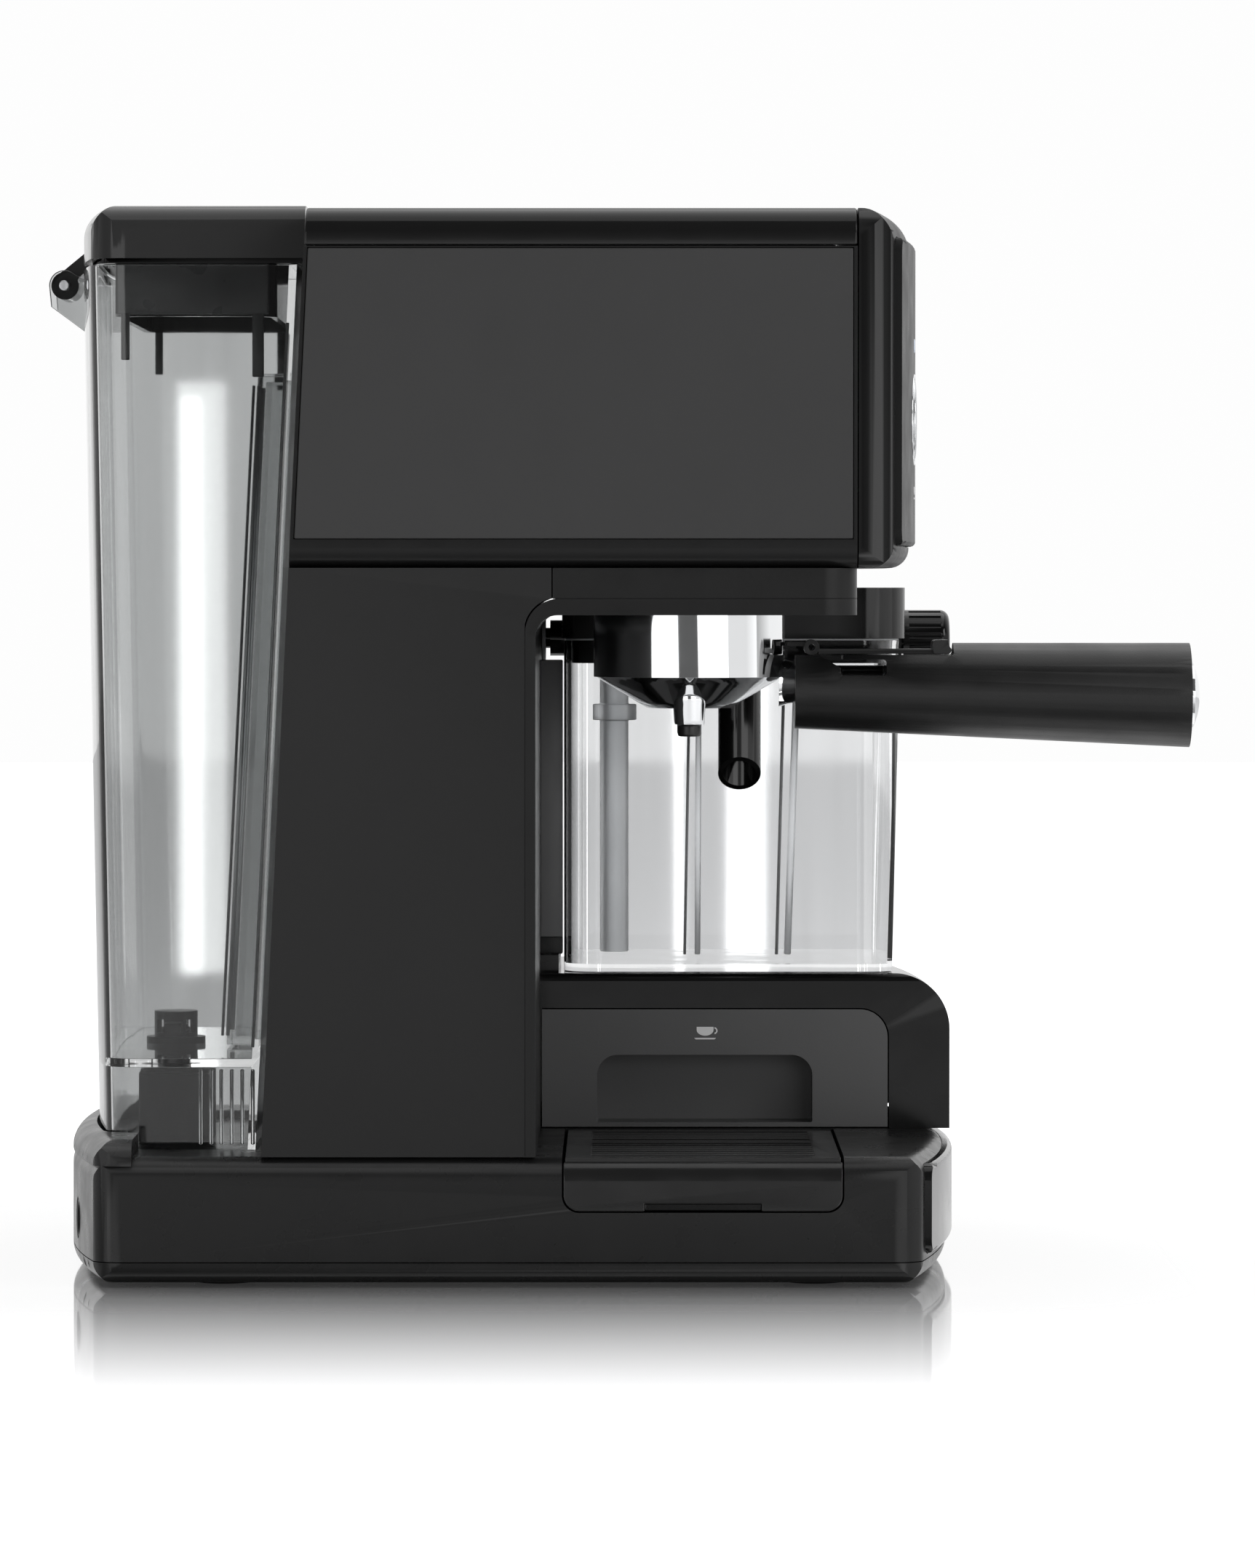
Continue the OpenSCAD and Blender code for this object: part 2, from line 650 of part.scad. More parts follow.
module button_board() color("#1f5a38") {
    slab([-head_w / 2 + 14, board_y, button_z - 22], [head_w / 2 - 14, board_y + 1.6, lens_z + 14]);
    for (i = [0:2]) {
        slab([button_x(i) - 3, board_y - 1.6, button_z - 3], [button_x(i) + 3, board_y, button_z + 3]);
        rod_y(head_front_y + 7.4, board_y, button_x(i), lens_z, 1.9);
    }
}

module control_board() color("#1f5a38") translate([0, body_rear_y(head_z) - 12.3, head_z]) {
    slab([18, -54, 14], [96, 0, 15.6]);
    slab([24, -48, 15.6], [52, -22, 38]);
    slab([60, -46, 15.6], [78, -30, 30]);
    for (x = [62, 76, 88]) rod_z(15.6, 32, x, -14, 5);
    for (x = [26, 88], y = [-50, -4]) rod_z(wall, 14, x, y, 3);
}

// ---- Cup bay and brew group ----

module brew_plan(t, y1) translate([0, 0]) corner_rect(
    brew_x0 + t, brew_y0 + t, brew_x1 - t, y1, corner_r - t, corner_r - t, 0, 0);

module brew_head_cover() color("#232326") difference() {
    along_z(head_z - brew_cover_h, head_z) brew_plan(0, column_front_y - 8);
    along_z(head_z - brew_cover_h + wall, head_z + cut) brew_plan(wall, column_front_y - 8 - wall);
    rod_z(head_z - brew_cover_h - cut, head_z, group_x, group_y, group_r + 0.4);
}

// Glossy liner down the column's front and forward under the brew head
module bay_liner() color("#09090a") difference() {
    union() {
        intersection() {
            along_x(brew_x0 - 0.2, brew_x1) difference() {
                corner_rect(brew_y0, deck_z, column_front_y, liner_z + liner_top_t, 0, 0, corner_r, 0);
                corner_rect(brew_y0 - cut, deck_z - cut, liner_y, liner_z, 0, 0, corner_r - 3.5, 0);
            }
            along_z(deck_z, head_z) corner_rect(brew_x0 - 0.2, brew_y0, brew_x1, column_front_y + cut,
                corner_r, corner_r, 0, 0);
        }
        slab([brew_x1 - 1, liner_y, deck_z], [column_w / 2, column_front_y, head_z]);
    }
    rod_z(liner_z - cut, head_z, group_x, group_y, group_r + 0.4);
    rod_y(liner_y - cut, column_front_y + cut, socket_x, connector_z, 5.2);
}

module group_head() color("#8f9296") difference() {
    union() {
        difference() {
            rod_z(liner_z + 0.5, head_z + 12.6, group_x, group_y, group_r);
            rod_z(liner_z, rim_z + 4, group_x, group_y, cavity_r);
        }
        for (i = [0:2]) translate([group_x, group_y, liner_z + 0.5]) rotate([0, 0, i * 120])
            rotate_extrude(angle = 68) translate([bowl_r + 0.8, 0]) square([4, 3]);
    }
    rod_z(rim_z + 3, rim_z + 11, group_x, group_y, 2.5);
    rod_z(rim_z + 3, head_z + 14, group_x + 12, group_y, 1.6);
}

module group_gasket() color("#3a1712") difference() {
    rod_z(rim_z + 0.3, rim_z + 4, group_x, group_y, bowl_r);
    rod_z(rim_z, rim_z + 5, group_x, group_y, bowl_r - 5.6);
}

// Evenly spaced holes on rings, as in a sieve
module sieve_holes(z0, z1, r) for (ring = [1:3], i = [0:ring * 6 - 1])
    rod_z(z0, z1, group_x + ring * 5.6 * cos(i * 60 / ring), group_y + ring * 5.6 * sin(i * 60 / ring), r);

module shower_screen() color("#c9ccd0") difference() {
    rod_z(rim_z + 1.2, rim_z + 2.6, group_x, group_y, bowl_r - 6.4);
    rod_z(rim_z, rim_z + 3, group_x, group_y, 2.6);
    sieve_holes(rim_z, rim_z + 3, 0.8);
}

module shower_screw() color("silver") {
    rod_z(rim_z + 0.1, rim_z + 1.2, group_x, group_y, 4.4);
    rod_z(rim_z + 1.2, rim_z + 10, group_x, group_y, 2.4);
}

module boiler() color("#a4a7ab") difference() {
    union() {
        along_z(boiler_z, boiler_z + boiler_h)
            round_rect(group_x - 40, group_y - 36, group_x + 40, group_y + 40, 12);
        rod_y(group_y + 40, group_y + 50, group_x + 18, boiler_z + 18, 4);
    }
    rod_z(boiler_z - cut, boiler_z + 8, group_x + 12, group_y, 1.6);
}

module thermostats() color("#e4e2da") for (x = [-18, 10])
    rod_z(boiler_z + boiler_h, boiler_z + boiler_h + 8, group_x + x, group_y, 8);

module solenoid_valve() color("#b48a3c") {
    slab([valve_x - 12, -40, head_z + wall], [valve_x + 12, -14, head_z + 24]);
    rod_z(head_z + 24, head_z + 52, valve_x, -27, 9);
}

module pump() color("#c8c9c4") {
    rod_x(pump_x0 + 14, pump_x0 + 72, pump_y, pump_z, pump_r);
    rod_x(pump_x0, pump_x0 + 14, pump_y, pump_z, 8);
    rod_x(pump_x0 + 72, pump_x0 + 88, pump_y, pump_z, 7);
}

module pump_mounts() color("#1d1d1f") for (x = [pump_x0 + 20, pump_x0 + 60]) difference() {
    union() {
        rod_x(x, x + 8, pump_y, pump_z, pump_r + 4);
        slab([x, pump_y - 18, deck_z], [x + 8, pump_y + 18, pump_z - 10]);
    }
    rod_x(x - cut, x + 9, pump_y, pump_z, pump_r + 0.02);
}

module water_hose() color("#d6d8da") hose([
    [0, valve_y, deck_z - 6.6], [0, valve_y, 16], [pump_x0 + 8, pump_y + 20, 16],
    [pump_x0 + 8, pump_y, 16], [pump_x0 + 8, pump_y, pump_z - 8.2]
], 3, [1, 0.3, 0]);

module pressure_hose() color("#e8e8e2") hose([
    [pump_x0 + 80, pump_y, pump_z + 7.1], [pump_x0 + 80, pump_y, head_z - 20],
    [10, pump_y, head_z + 4], [group_x + 18, pump_y, boiler_z + 18],
    [group_x + 18, group_y + 50.2, boiler_z + 18]
], 2.6, [0.3, 0.5, 1]);

module steam_hose() color("#e8e8e2") hose([
    [valve_x, -13.8, head_z + 12], [valve_x, 16, head_z + 10], [socket_x, 44, head_z + 4],
    [socket_x, 52, connector_z], [socket_x, column_front_y + 14.2, connector_z]
], 2.6, [1, 0, 0.2]);

module steam_socket() color("#141416") difference() {
    union() {
        rod_y(liner_y, column_front_y + 14, socket_x, connector_z, 5);
        rod_y(liner_y - 1.2, liner_y, socket_x, connector_z, 8);
    }
    rod_y(liner_y - 2, column_front_y + 8, socket_x, connector_z, 3.6);
    rod_y(column_front_y + 7, column_front_y + 15, socket_x, connector_z, 1.5);
}

// Standpipe on the deck that opens the tank's valve and takes its water
module tank_inlet() color("#2b2c2f") difference() {
    union() {
        along_z(deck_z - 2.6, pedestal_z - 2) round_rect(-16, valve_y - 11.5, 16, valve_y + 11.5, 4);
        for (i = [0:2]) rod_z(pedestal_z - 2 + i * 1.4, pedestal_z - 1.2 + i * 1.4, 0, valve_y, 10);
        rod_z(pedestal_z - 2, pedestal_z + 2, 0, valve_y, 9);
        rod_z(deck_z - 6.6, deck_z - 2.6, 0, valve_y, 3.2);
    }
    difference() {
        rod_z(pedestal_z - 6, pedestal_z + 3, 0, valve_y, 6.4);
        rod_z(pedestal_z - 6, pedestal_z - 0.6, 0, valve_y, 1.5);
    }
    translate([0, valve_y, 0]) for (x = [-3.6, 3.6]) rod_z(deck_z - 4, pedestal_z - 5, x, 0, 1.3);
    rod_z(deck_z - 7, deck_z - 2, 0, valve_y, 2.2);
    slab([-4.5, valve_y - 1.3, deck_z - 3.4], [4.5, valve_y + 1.3, deck_z - 1]);
}

// ---- Portafilter ----

module portafilter_bowl() color("#c6c9cd") difference() {
    union() {
        rod_z(bowl_z, rim_z, group_x, group_y, bowl_r);
        bowl_cone();
        for (i = [0:2]) translate([group_x, group_y, rim_z - 3]) rotate([0, 0, i * 120 + 12])
            rotate_extrude(angle = 40) translate([bowl_r - 0.5, 0]) square([4.1, 2.6]);
        rod_y(group_y - bowl_r - neck_l, group_y - bowl_r + 1, group_x, neck_z, neck_r);
        translate([group_x, group_y - bowl_r + 1.8, neck_z]) rotate([90, 0, 0])
            cylinder(4.8, r1 = 7.4, r2 = 6);
    }
    rod_z(bowl_z, rim_z + cut, group_x, group_y, bowl_r - bowl_wall);
    rod_z(rim_z - 1.1, rim_z + cut, group_x, group_y, bowl_r - 0.8);
    translate([group_x, group_y, cone_z + 3]) cylinder(bowl_cone_h - 3, r1 = 12, r2 = bowl_r - bowl_wall);
    for (x = [-0.5, 0.5]) rod_z(cone_z - cut, bowl_z + 1, group_x + x * nozzle_pitch, group_y, 2.2);
}

module bowl_cone() translate([group_x, group_y, cone_z])
    cylinder(bowl_cone_h, r1 = cone_r, r2 = bowl_r - 0.6);

module filter_basket() color("#d5d7da") difference() {
    union() {
        rod_z(rim_z - 1, rim_z, group_x, group_y, bowl_r - 1);
        rod_z(bowl_z + 1.2, rim_z - 0.5, group_x, group_y, bowl_r - bowl_wall - 0.2);
    }
    rod_z(bowl_z + 2, rim_z + cut, group_x, group_y, bowl_r - bowl_wall - 1);
    sieve_holes(bowl_z, bowl_z + 3, 0.7);
}

// The tapered grip, its top level while its underside falls away
module grip_cone(grow) translate([group_x, handle_y, handle_z]) rotate([90 + handle_tilt, 0, 0])
    cylinder(handle_l, r1 = handle_r1 + grow, r2 = handle_r2 + grow, $fn = 96);

module portafilter_handle() color("#161617") difference() {
    intersection() {
        grip_cone(0);
        slab([group_x - 40, handle_y - handle_l + 0.4, 0], [group_x + 40, handle_y, head_z]);
    }
    rod_y(group_y - bowl_r - neck_l - 0.4, handle_y + cut, group_x, neck_z, neck_r + 0.02);
    along_x(group_x - 40, group_x + 40)
        corner_rect(handle_y - 47.2, clip_z - 3.4, handle_y + 5, clip_z + 20, 1, 0, 0, 0);
    along_x(group_x - 40, group_x + 40)
        round_rect(handle_y - 27.1, handle_z + 3.1, handle_y - 13.5, handle_z + 7.9, 1);
    along_x(group_x - 40, group_x + 40) polygon([
        [handle_y - 7, clip_z - 3.3], [handle_y - 14.2, handle_z + 5], [handle_y - 14.2, clip_z - 3.3]
    ]);
}

module handle_end_cap() color("#cfd2d6") intersection() {
    translate([group_x, handle_y - handle_l + 0.4, handle_z + handle_r1 - handle_r2]) rotate([90, 0, 0])
        cylinder(end_cap_h + cut, r = 9.6);
    translate([group_x, handle_y - handle_l - end_cap_h + 24, handle_z + handle_r1 - handle_r2])
        sphere(24, $fn = 128);
}

// Sprung plate that holds the basket while the grounds are knocked out
module filter_clip() color("#1a1a1b") {
    translate([0, 0, 0]) difference() {
        union() {
            slab([group_x - 7, clip_y - 38, clip_z - 2.9], [group_x + 7, clip_y - 2, clip_z - 1.5]);
            rod_x(group_x - 7, group_x + 7, clip_y, clip_z - 1, 2.3);
            slab([group_x - 6, clip_y - 1, clip_z - 0.6], [group_x + 6, clip_y + 7.4, clip_z + 0.6]);
        }
        rod_x(group_x - 8, group_x + 8, clip_y, clip_z - 1, 1);
    }
    along_x(group_x - 8, group_x + 8) difference() {
        round_rect(clip_y - 41.5, clip_z - 2.9, clip_y - 36, clip_z + 1.2, 1);
        translate([clip_y - 44.5, clip_z + 1.2]) circle(4);
    }
}

// Two tapered nozzles whose roots meet the cone
module spout_nozzles() color("#d5d8dc") difference() {
    for (x = [-0.5, 0.5]) translate([group_x + x * nozzle_pitch, group_y, nozzle_z])
        cylinder(nozzle_drop - 2.4, r1 = nozzle_r - 0.7, r2 = nozzle_r);
    bowl_cone();
    for (x = [-0.5, 0.5]) rod_z(nozzle_z - cut, bowl_z, group_x + x * nozzle_pitch, group_y, 2.2);
}

module spout_tips() color("#17171a") for (x = [-0.5, 0.5]) difference() {
    rod_z(nozzle_z - tip_h, nozzle_z, group_x + x * nozzle_pitch, group_y, nozzle_r - 1.6);
    rod_z(nozzle_z - tip_h - cut, nozzle_z + cut, group_x + x * nozzle_pitch, group_y, 1.9);
}

// ---- Trays ----

module drip_tray() color("#121214") difference() {
    intersection() {
        along_x(tray_x0, tray_x1) corner_rect(tray_y - tray_w / 2, tray_z, tray_y + tray_w / 2,
            deck_z - 0.4, 4.7, 4.7, 0, 0);
        base_form(0, base_h);
    }
    slab([tray_x0 + 3, tray_y - tray_w / 2 + tray_wall, tray_z + tray_wall],
        [tray_x1 - tray_wall, tray_y + tray_w / 2 - tray_wall, deck_z + cut]);
    slab([tray_x0 + 3, tray_y - tray_w / 2 - cut, grid_z - gap],
        [tray_x1 + cut, tray_y + tray_w / 2 + cut, deck_z + cut]);
    slab([tray_x0 - cut, tray_y - 17, tray_z - cut], [tray_x0 + 1.5, tray_y + 17, tray_z + 2.2]);
}

module drip_grid() color("#1b1b1d") difference() {
    slab([tray_x0 + 3.5, tray_y - tray_w / 2 + 0.5, grid_z],
        [tray_x1 - 0.5, tray_y + tray_w / 2 - 0.5, deck_z - 0.2]);
    slab([tray_x0 + 7, tray_y - tray_w / 2 + 4, grid_z - cut],
        [tray_x1 - 4, tray_y + tray_w / 2 - 4, grid_z + grid_t - 2.2]);
    for (i = [0:grid_slots - 1]) slab(
        [slot_x(i), tray_y - tray_w / 2 + 8, grid_z - cut],
        [slot_x(i) + 4, tray_y + tray_w / 2 - 8, deck_z + cut]);
}

function slot_x(i) = tray_x0 + 10 + (i + 0.5) * (tray_x1 - tray_x0 - 18) / grid_slots - 2;

// ---- Milk platform and small cup tray ----

module platform_form(t) intersection() {
    bow_body(base_front_y - plate_proud + t, base_front_r - t, 1, deck_z - 10, platform_z - t,
        0, platform_r - t);
    along_z(deck_z - 5, platform_z + cut) bowed_blank(base_w - 2 * t, base_front_y - plate_proud + t,
        base_front_r - t, liner_y + 20, 0, corner_r - t);
    along_y(base_front_y - 10, liner_y - t) corner_rect(
        bay_x + t, deck_z - 5, base_w / 2 - t, platform_z - t, 0, 0, edge_r - t, 2.4);
}

module drawer_opening(grow) along_x(bay_x - cut, bay_x + 6) corner_rect(
    drawer_y0 - grow, deck_z - 5, drawer_y1 + grow, deck_z + drawer_h + grow, 0, 0, 0, 8.6 + grow);

module milk_platform() color("#0c0c0e") {
    difference() {
        intersection() {
            platform_form(0);
            slab([bay_x - cut, base_front_y - 10, deck_z], [base_w, liner_y, platform_z + cut]);
        }
        platform_form(wall);
        drawer_opening(slide_gap);
    }
    difference() {
        slab([milk_x0 + 6, milk_rear_y + 1.6, platform_z], [milk_x1 - 6, liner_y, platform_z + 5]);
        for (i = [0:11]) slab([milk_x0 + 12 + i * 7, milk_rear_y, platform_z + 1.6],
            [milk_x0 + 16 + i * 7, milk_rear_y + 4, platform_z + 6]);
    }
}

recess_y0 = -58.9;
recess_y1 = 7.2;
recess_z0 = deck_z + 1.8;
recess_z1 = deck_z + 22.5;
recess_d = 14;

module finger_recess(grow, depth) along_x(bay_x - cut, bay_x + depth) corner_rect(
    recess_y0 - grow, recess_z0 - grow, recess_y1 + grow, recess_z1 + grow, 0.6, 0.6, 6.4 + grow, 6.4 + grow);

module small_cup_tray() color("#29292c") difference() {
    union() {
        difference() {
            union() {
                along_x(bay_x, bay_x + 3) corner_rect(drawer_y0, deck_z + slide_gap, drawer_y1,
                    deck_z + drawer_h, 0, 0, 0, 8.6);
                slab([bay_x + 2, drawer_y0 + 4, deck_z + slide_gap],
                    [bay_x + 92, drawer_y1 - 4, deck_z + drawer_h - 1]);
            }
            slab([bay_x + 3, drawer_y0 + 4 + tray_wall, deck_z],
                [bay_x + 92 - tray_wall, drawer_y1 - 4 - tray_wall, deck_z + drawer_h - 1 - tray_wall]);
        }
        intersection() {
            finger_recess(tray_wall, recess_d + tray_wall);
            slab([bay_x + 2, -200, deck_z + slide_gap], [bay_x + 40, 200, deck_z + drawer_h]);
        }
    }
    finger_recess(0, recess_d);
    for (i = [0:8]) slab([bay_x + 14 + i * 8.4, drawer_y0 + 14, deck_z + drawer_h - 6],
        [bay_x + 17.5 + i * 8.4, drawer_y1 - 14, deck_z + drawer_h + cut]);
}

// ---- Milk tank ----

module milk_form(t, z0, z1) intersection() {
    along_z(z0, z1)
        round_rect(milk_x0 + t, milk_front_y + t, milk_x1 - t, milk_rear_y - t, milk_corner_r - t);
    along_x(0, base_w) polygon([
        [milk_front_y + t, z1], [milk_front_y + t + (milk_rim_z - z0) * 0.025, z0],
        [milk_rear_y, z0], [milk_rear_y, z1]
    ]);
}

module milk_tank() color("#dfe3e6", 0.35) difference() {
    milk_form(0, platform_z + gap, milk_rim_z);
    milk_form(milk_wall, platform_z + gap + milk_wall, milk_rim_z + cut);
    along_y(milk_front_y - cut, milk_front_y + 6)
        corner_rect(milk_mid_x - 9, milk_rim_z - 10, milk_mid_x + 9, milk_rim_z + cut, 0.6, 0.6, 0, 0);
}

module milk_lid_seal() color("#d9dbdd") difference() {
    milk_form(0.3, milk_rim_z, milk_lid_z);
    milk_form(1.9, milk_rim_z - cut, milk_lid_z + cut);
    slab([milk_mid_x - 9, milk_front_y - cut, milk_rim_z - cut],
        [milk_mid_x + 9, milk_front_y + 6, milk_lid_z + cut]);
}

module milk_lid() color("#1d1e20") {
    difference() {
        union() {
            along_z(milk_lid_z, milk_lid_top) round_rect(milk_x0 - 1, milk_front_y - 1.6,
                milk_x1 + 1, milk_rear_y + 0.6, milk_corner_r + 1);
            milk_form(milk_wall + 0.5, milk_rim_z - 7, milk_lid_z + cut);
            slab([milk_mid_x - 8.6, milk_front_y - 1.6, milk_rim_z - 9.6],
                [milk_mid_x + 8.6, milk_front_y + 5, milk_lid_z + cut]);
            slab([spout_pin_x - 4.5, spout_y - 6, spout_top_z + 0.2],
                [milk_x0 + 4, spout_y + 6, milk_lid_top - 3]);
            rod_z(spout_top_z - 9, spout_top_z + 2, spout_pin_x, spout_y, 3.5);
            rod_z(spout_top_z - 10, spout_top_z - 8.4, spout_pin_x, spout_y, 4.6);
            rod_y(milk_rear_y, milk_rear_y + 4.6, socket_x, connector_z, 5.6);
            rod_y(milk_rear_y + 4, milk_rear_y + 13, socket_x, connector_z, 3.2);
        }
        milk_form(milk_wall + 2.4, milk_rim_z - 8, milk_lid_z + 1);
        along_z(milk_lid_z + 0.5, milk_lid_top - wall) round_rect(milk_x0 + 4.6, milk_front_y + 5,
            milk_x1 - 4.6, milk_rear_y - 4.6, milk_corner_r - 3);
        rod_y(milk_rear_y - 6, milk_rear_y + 14, socket_x, connector_z, 1.5);
        rod_y(milk_front_y - 3, milk_front_y + 7, milk_mid_x, knob_z, 3.05);
    }
    tube_nipple();
}

tube_x = milk_x0 + 32;
tube_y = 2;

module tube_nipple() rod_z(milk_rim_z - 8, milk_lid_top - 2, tube_x, tube_y, 2.5);

module milk_suction_tube() color("#e6e8ea", 0.6) difference() {
    union() {
        rod_z(platform_z + 5, milk_rim_z - 1, tube_x, tube_y, 4.5);
        rod_z(milk_rim_z - 25, milk_rim_z - 20, tube_x, tube_y, 7);
    }
    rod_z(platform_z + 4, milk_rim_z, tube_x, tube_y, 2.52);
}

module froth_knob() color("#18181a") {
    difference() {
        translate([milk_mid_x, milk_front_y - 2.2, knob_z]) rotate([90, 0, 0]) rotate_extrude()
            corner_rect(0, 0, knob_r, 14.6, 0, 0, 3, 0);
        for (i = [0:17]) rotate_about_knob(i * 20)
            rod_y(milk_front_y - 14, milk_front_y - 4, milk_mid_x, knob_z + knob_r + 0.4, 1);
    }
    rod_y(milk_front_y - 2.2, milk_front_y + 6.5, milk_mid_x, knob_z, 3);
}

module rotate_about_knob(a) translate([milk_mid_x, 0, knob_z]) rotate([0, a, 0])
    translate([-milk_mid_x, 0, -knob_z]) children();

module milk_spout() color("#0e0e0f") difference() {
    union() {
        rod_z(spout_top_z - 8, spout_top_z, spout_pin_x, spout_y, 5.6);
        slab([spout_x, spout_y - 4.5, spout_top_z - 7.6],
            [spout_pin_x - 2, spout_y + 4.5, spout_top_z - 0.4]);
        rod_z(spout_top_z - 8 - spout_l, spout_top_z, spout_x, spout_y, spout_r);
    }
    rod_z(spout_top_z - 9, spout_top_z + cut, spout_pin_x, spout_y, 3.5 + running);
    rod_z(spout_top_z - 9 - spout_l, spout_top_z - 4, spout_x, spout_y, spout_r - 1.6);
    translate([spout_x - spout_r, 0, spout_top_z - 8 - spout_l + mouth_rise])
        rotate([0, atan(mouth_rise / (2 * spout_r)), 0])
        translate([-20, spout_y - 10, -30]) cube([60, 20, 30]);
}

// ---- Water tank ----

channel_half_w = 20;
channel_d = 10.5;

module tank_channel(grow) intersection() {
    slab([-channel_half_w - grow, 0, floor_z + 2], [channel_half_w + grow, 300, tank_top_z - 33 + grow]);
    difference() {
        ahead_of_tank(-tank_gap - channel_d - grow);
        ahead_of_tank(-tank_gap + cut);
    }
}

module water_tank() color("#7d8184", 0.4) difference() {
    union() {
        difference() {
            tank_form(0, tank_z, tank_top_z);
            tank_form(tank_wall, floor_z + 1.2, tank_top_z + cut);
            tank_form(tank_wall, tank_z - cut, floor_z - 1.2);
        }
        intersection() {
            tank_channel(tank_wall);
            tank_form(1, floor_z, tank_top_z);
        }
        for (x = [-1, 1]) tank_ear(x);
    }
    tank_front_opening();
    rod_z(floor_z - 5, floor_z + 5, 0, valve_y, 6.03);
    rod_x(-20, 20, hinge_y, hinge_z, hinge_pin_r + 0.02);
}

// The channel let into the tank's front wall, open towards the column
module tank_front_opening() intersection() {
    slab([-channel_half_w, 0, floor_z + 4.5], [channel_half_w, 300, tank_top_z - 33]);
    difference() {
        ahead_of_tank(-tank_gap - channel_d);
        ahead_of_tank(-tank_gap + 2);
    }
}

module tank_ear(side) along_x(side > 0 ? 11.4 : -16, side > 0 ? 16 : -11.4) difference() {
    union() {
        translate([hinge_y, hinge_z]) circle(ear_r);
        polygon([
            [tank_rear_y - 1.6, hinge_z + 1.5], [hinge_y, hinge_z + ear_r],
            [hinge_y + ear_r, hinge_z], [hinge_y + ear_r - 0.6, hinge_z - 6.5],
            [tank_rear_y - 1.6, hinge_z - 15]
        ]);
    }
    translate([hinge_y + 3.5, hinge_z - 14]) circle(5);
}

module tank_hinge_pin() color("#b6b9bd") rod_x(-17, 17, hinge_y, hinge_z, hinge_pin_r);

module tank_lid() color("#0f0f11") difference() {
    union() {
        difference() {
            lid_form(0, lid_z, lid_top);
            lid_form(wall, lid_z - cut, lid_top - wall);
        }
        lid_skirt();
        intersection() {
            difference() {
                lid_form(1, tank_top_z + 0.4, lid_z + 2);
                lid_form(4, tank_top_z, lid_z + 3);
            }
            slab([-tank_w, 0, 0], [tank_w, 300, 400]);
        }
        along_x(-11, 11) difference() {
            union() {
                translate([hinge_y, hinge_z]) circle(ear_r - 0.4);
                polygon([
                    [tank_rear_y - 3, lid_z + 7], [hinge_y + 1.8, hinge_z + ear_r - 1],
                    [hinge_y - 1, hinge_z - 2], [tank_rear_y + 0.8, hinge_z + 3.5], [tank_rear_y - 3, lid_z]
                ]);
            }
        }
    }
    rod_x(-12, 12, hinge_y, hinge_z, hinge_pin_r + running);
    slab([-17, tank_rear_y - 1.2, tank_top_z - 10], [-11.01, tank_rear_y + 12, lid_z]);
    slab([11.01, tank_rear_y - 1.2, tank_top_z - 10], [17, tank_rear_y + 12, lid_z]);
}

module lid_form(t, z0, z1) intersection() {
    along_z(z0, z1) bowed_blank(tank_w + 2 - 2 * t, tank_front_y - 60, 900, tank_rear_y - 0.2 - t,
        tank_bow_r - t, corner_r + 2 - t);
    bow_body(tank_rear_y - 0.2 - t, tank_bow_r - t, -1, z0, z1, 0, edge_r - t);
    slab([-tank_w, tank_front_y - 2.3 + t, z0], [tank_w, tank_rear_y + 5, z1]);
    along_y(tank_front_y - 10, tank_rear_y + 10) corner_rect(-tank_w / 2 - 1 + t, z0,
        tank_w / 2 + 1 - t, z1, 0, 0, edge_r - t, edge_r - t);
}

// Ring that hangs inside the tank's mouth and keeps the lid in place
module lid_skirt() difference() {
    skirt_form(0, tank_top_z - 15, lid_top - 1);
    skirt_form(2, tank_top_z - 16, lid_top - wall);
}

module skirt_form(t, z0, z1) along_z(z0, z1) round_rect(-tank_w / 2 + 8 + t, tank_front_y + 6.6 + t,
    tank_w / 2 - 8 - t, tank_rear_y - 13 - t, 8);

// ---- Tank valve ----

seat_z = floor_z + 2.1;

module tank_valve_body() color("#1b1c1f") difference() {
    union() {
        rod_z(pedestal_z - 4, floor_z + 1.2, 0, valve_y, 6);
        rod_z(floor_z + 1.2, floor_z + 3.2, 0, valve_y, 9);
        rod_z(floor_z + 3.2, floor_z + 11, 0, valve_y, 6.6);
        slab([-16, valve_y - 2.5, floor_z + 5], [16, valve_y + 2.5, floor_z + 8]);
    }
    rod_z(pedestal_z - 5, seat_z + 1, 0, valve_y, 3.2);
    rod_z(seat_z, floor_z + 9.6, 0, valve_y, 5);
    for (a = [45, 135]) translate([0, valve_y, seat_z + 2.4]) rotate([0, 0, a])
        translate([-10, -1.5, 0]) cube([20, 3, 4]);
}

module valve_plunger() color("#d9d9d4") {
    rod_z(pedestal_z - 0.3, seat_z + 2.5, 0, valve_y, 1.4);
    rod_z(seat_z + 2.5, seat_z + 4, 0, valve_y, 4.3);
}

spring_z0 = seat_z + 4.4;
spring_z1 = floor_z + 9.2;
spring_r = 3.3;
spring_wire = 0.3;
spring_steps = 64;
spring_turns = 4;

function spring_point(i, a) = [
    (spring_r + spring_wire * cos(a)) * cos(i * 360 * spring_turns / spring_steps),
    (spring_r + spring_wire * cos(a)) * sin(i * 360 * spring_turns / spring_steps),
    spring_z0 + (spring_z1 - spring_z0) * i / spring_steps + spring_wire * sin(a)
];

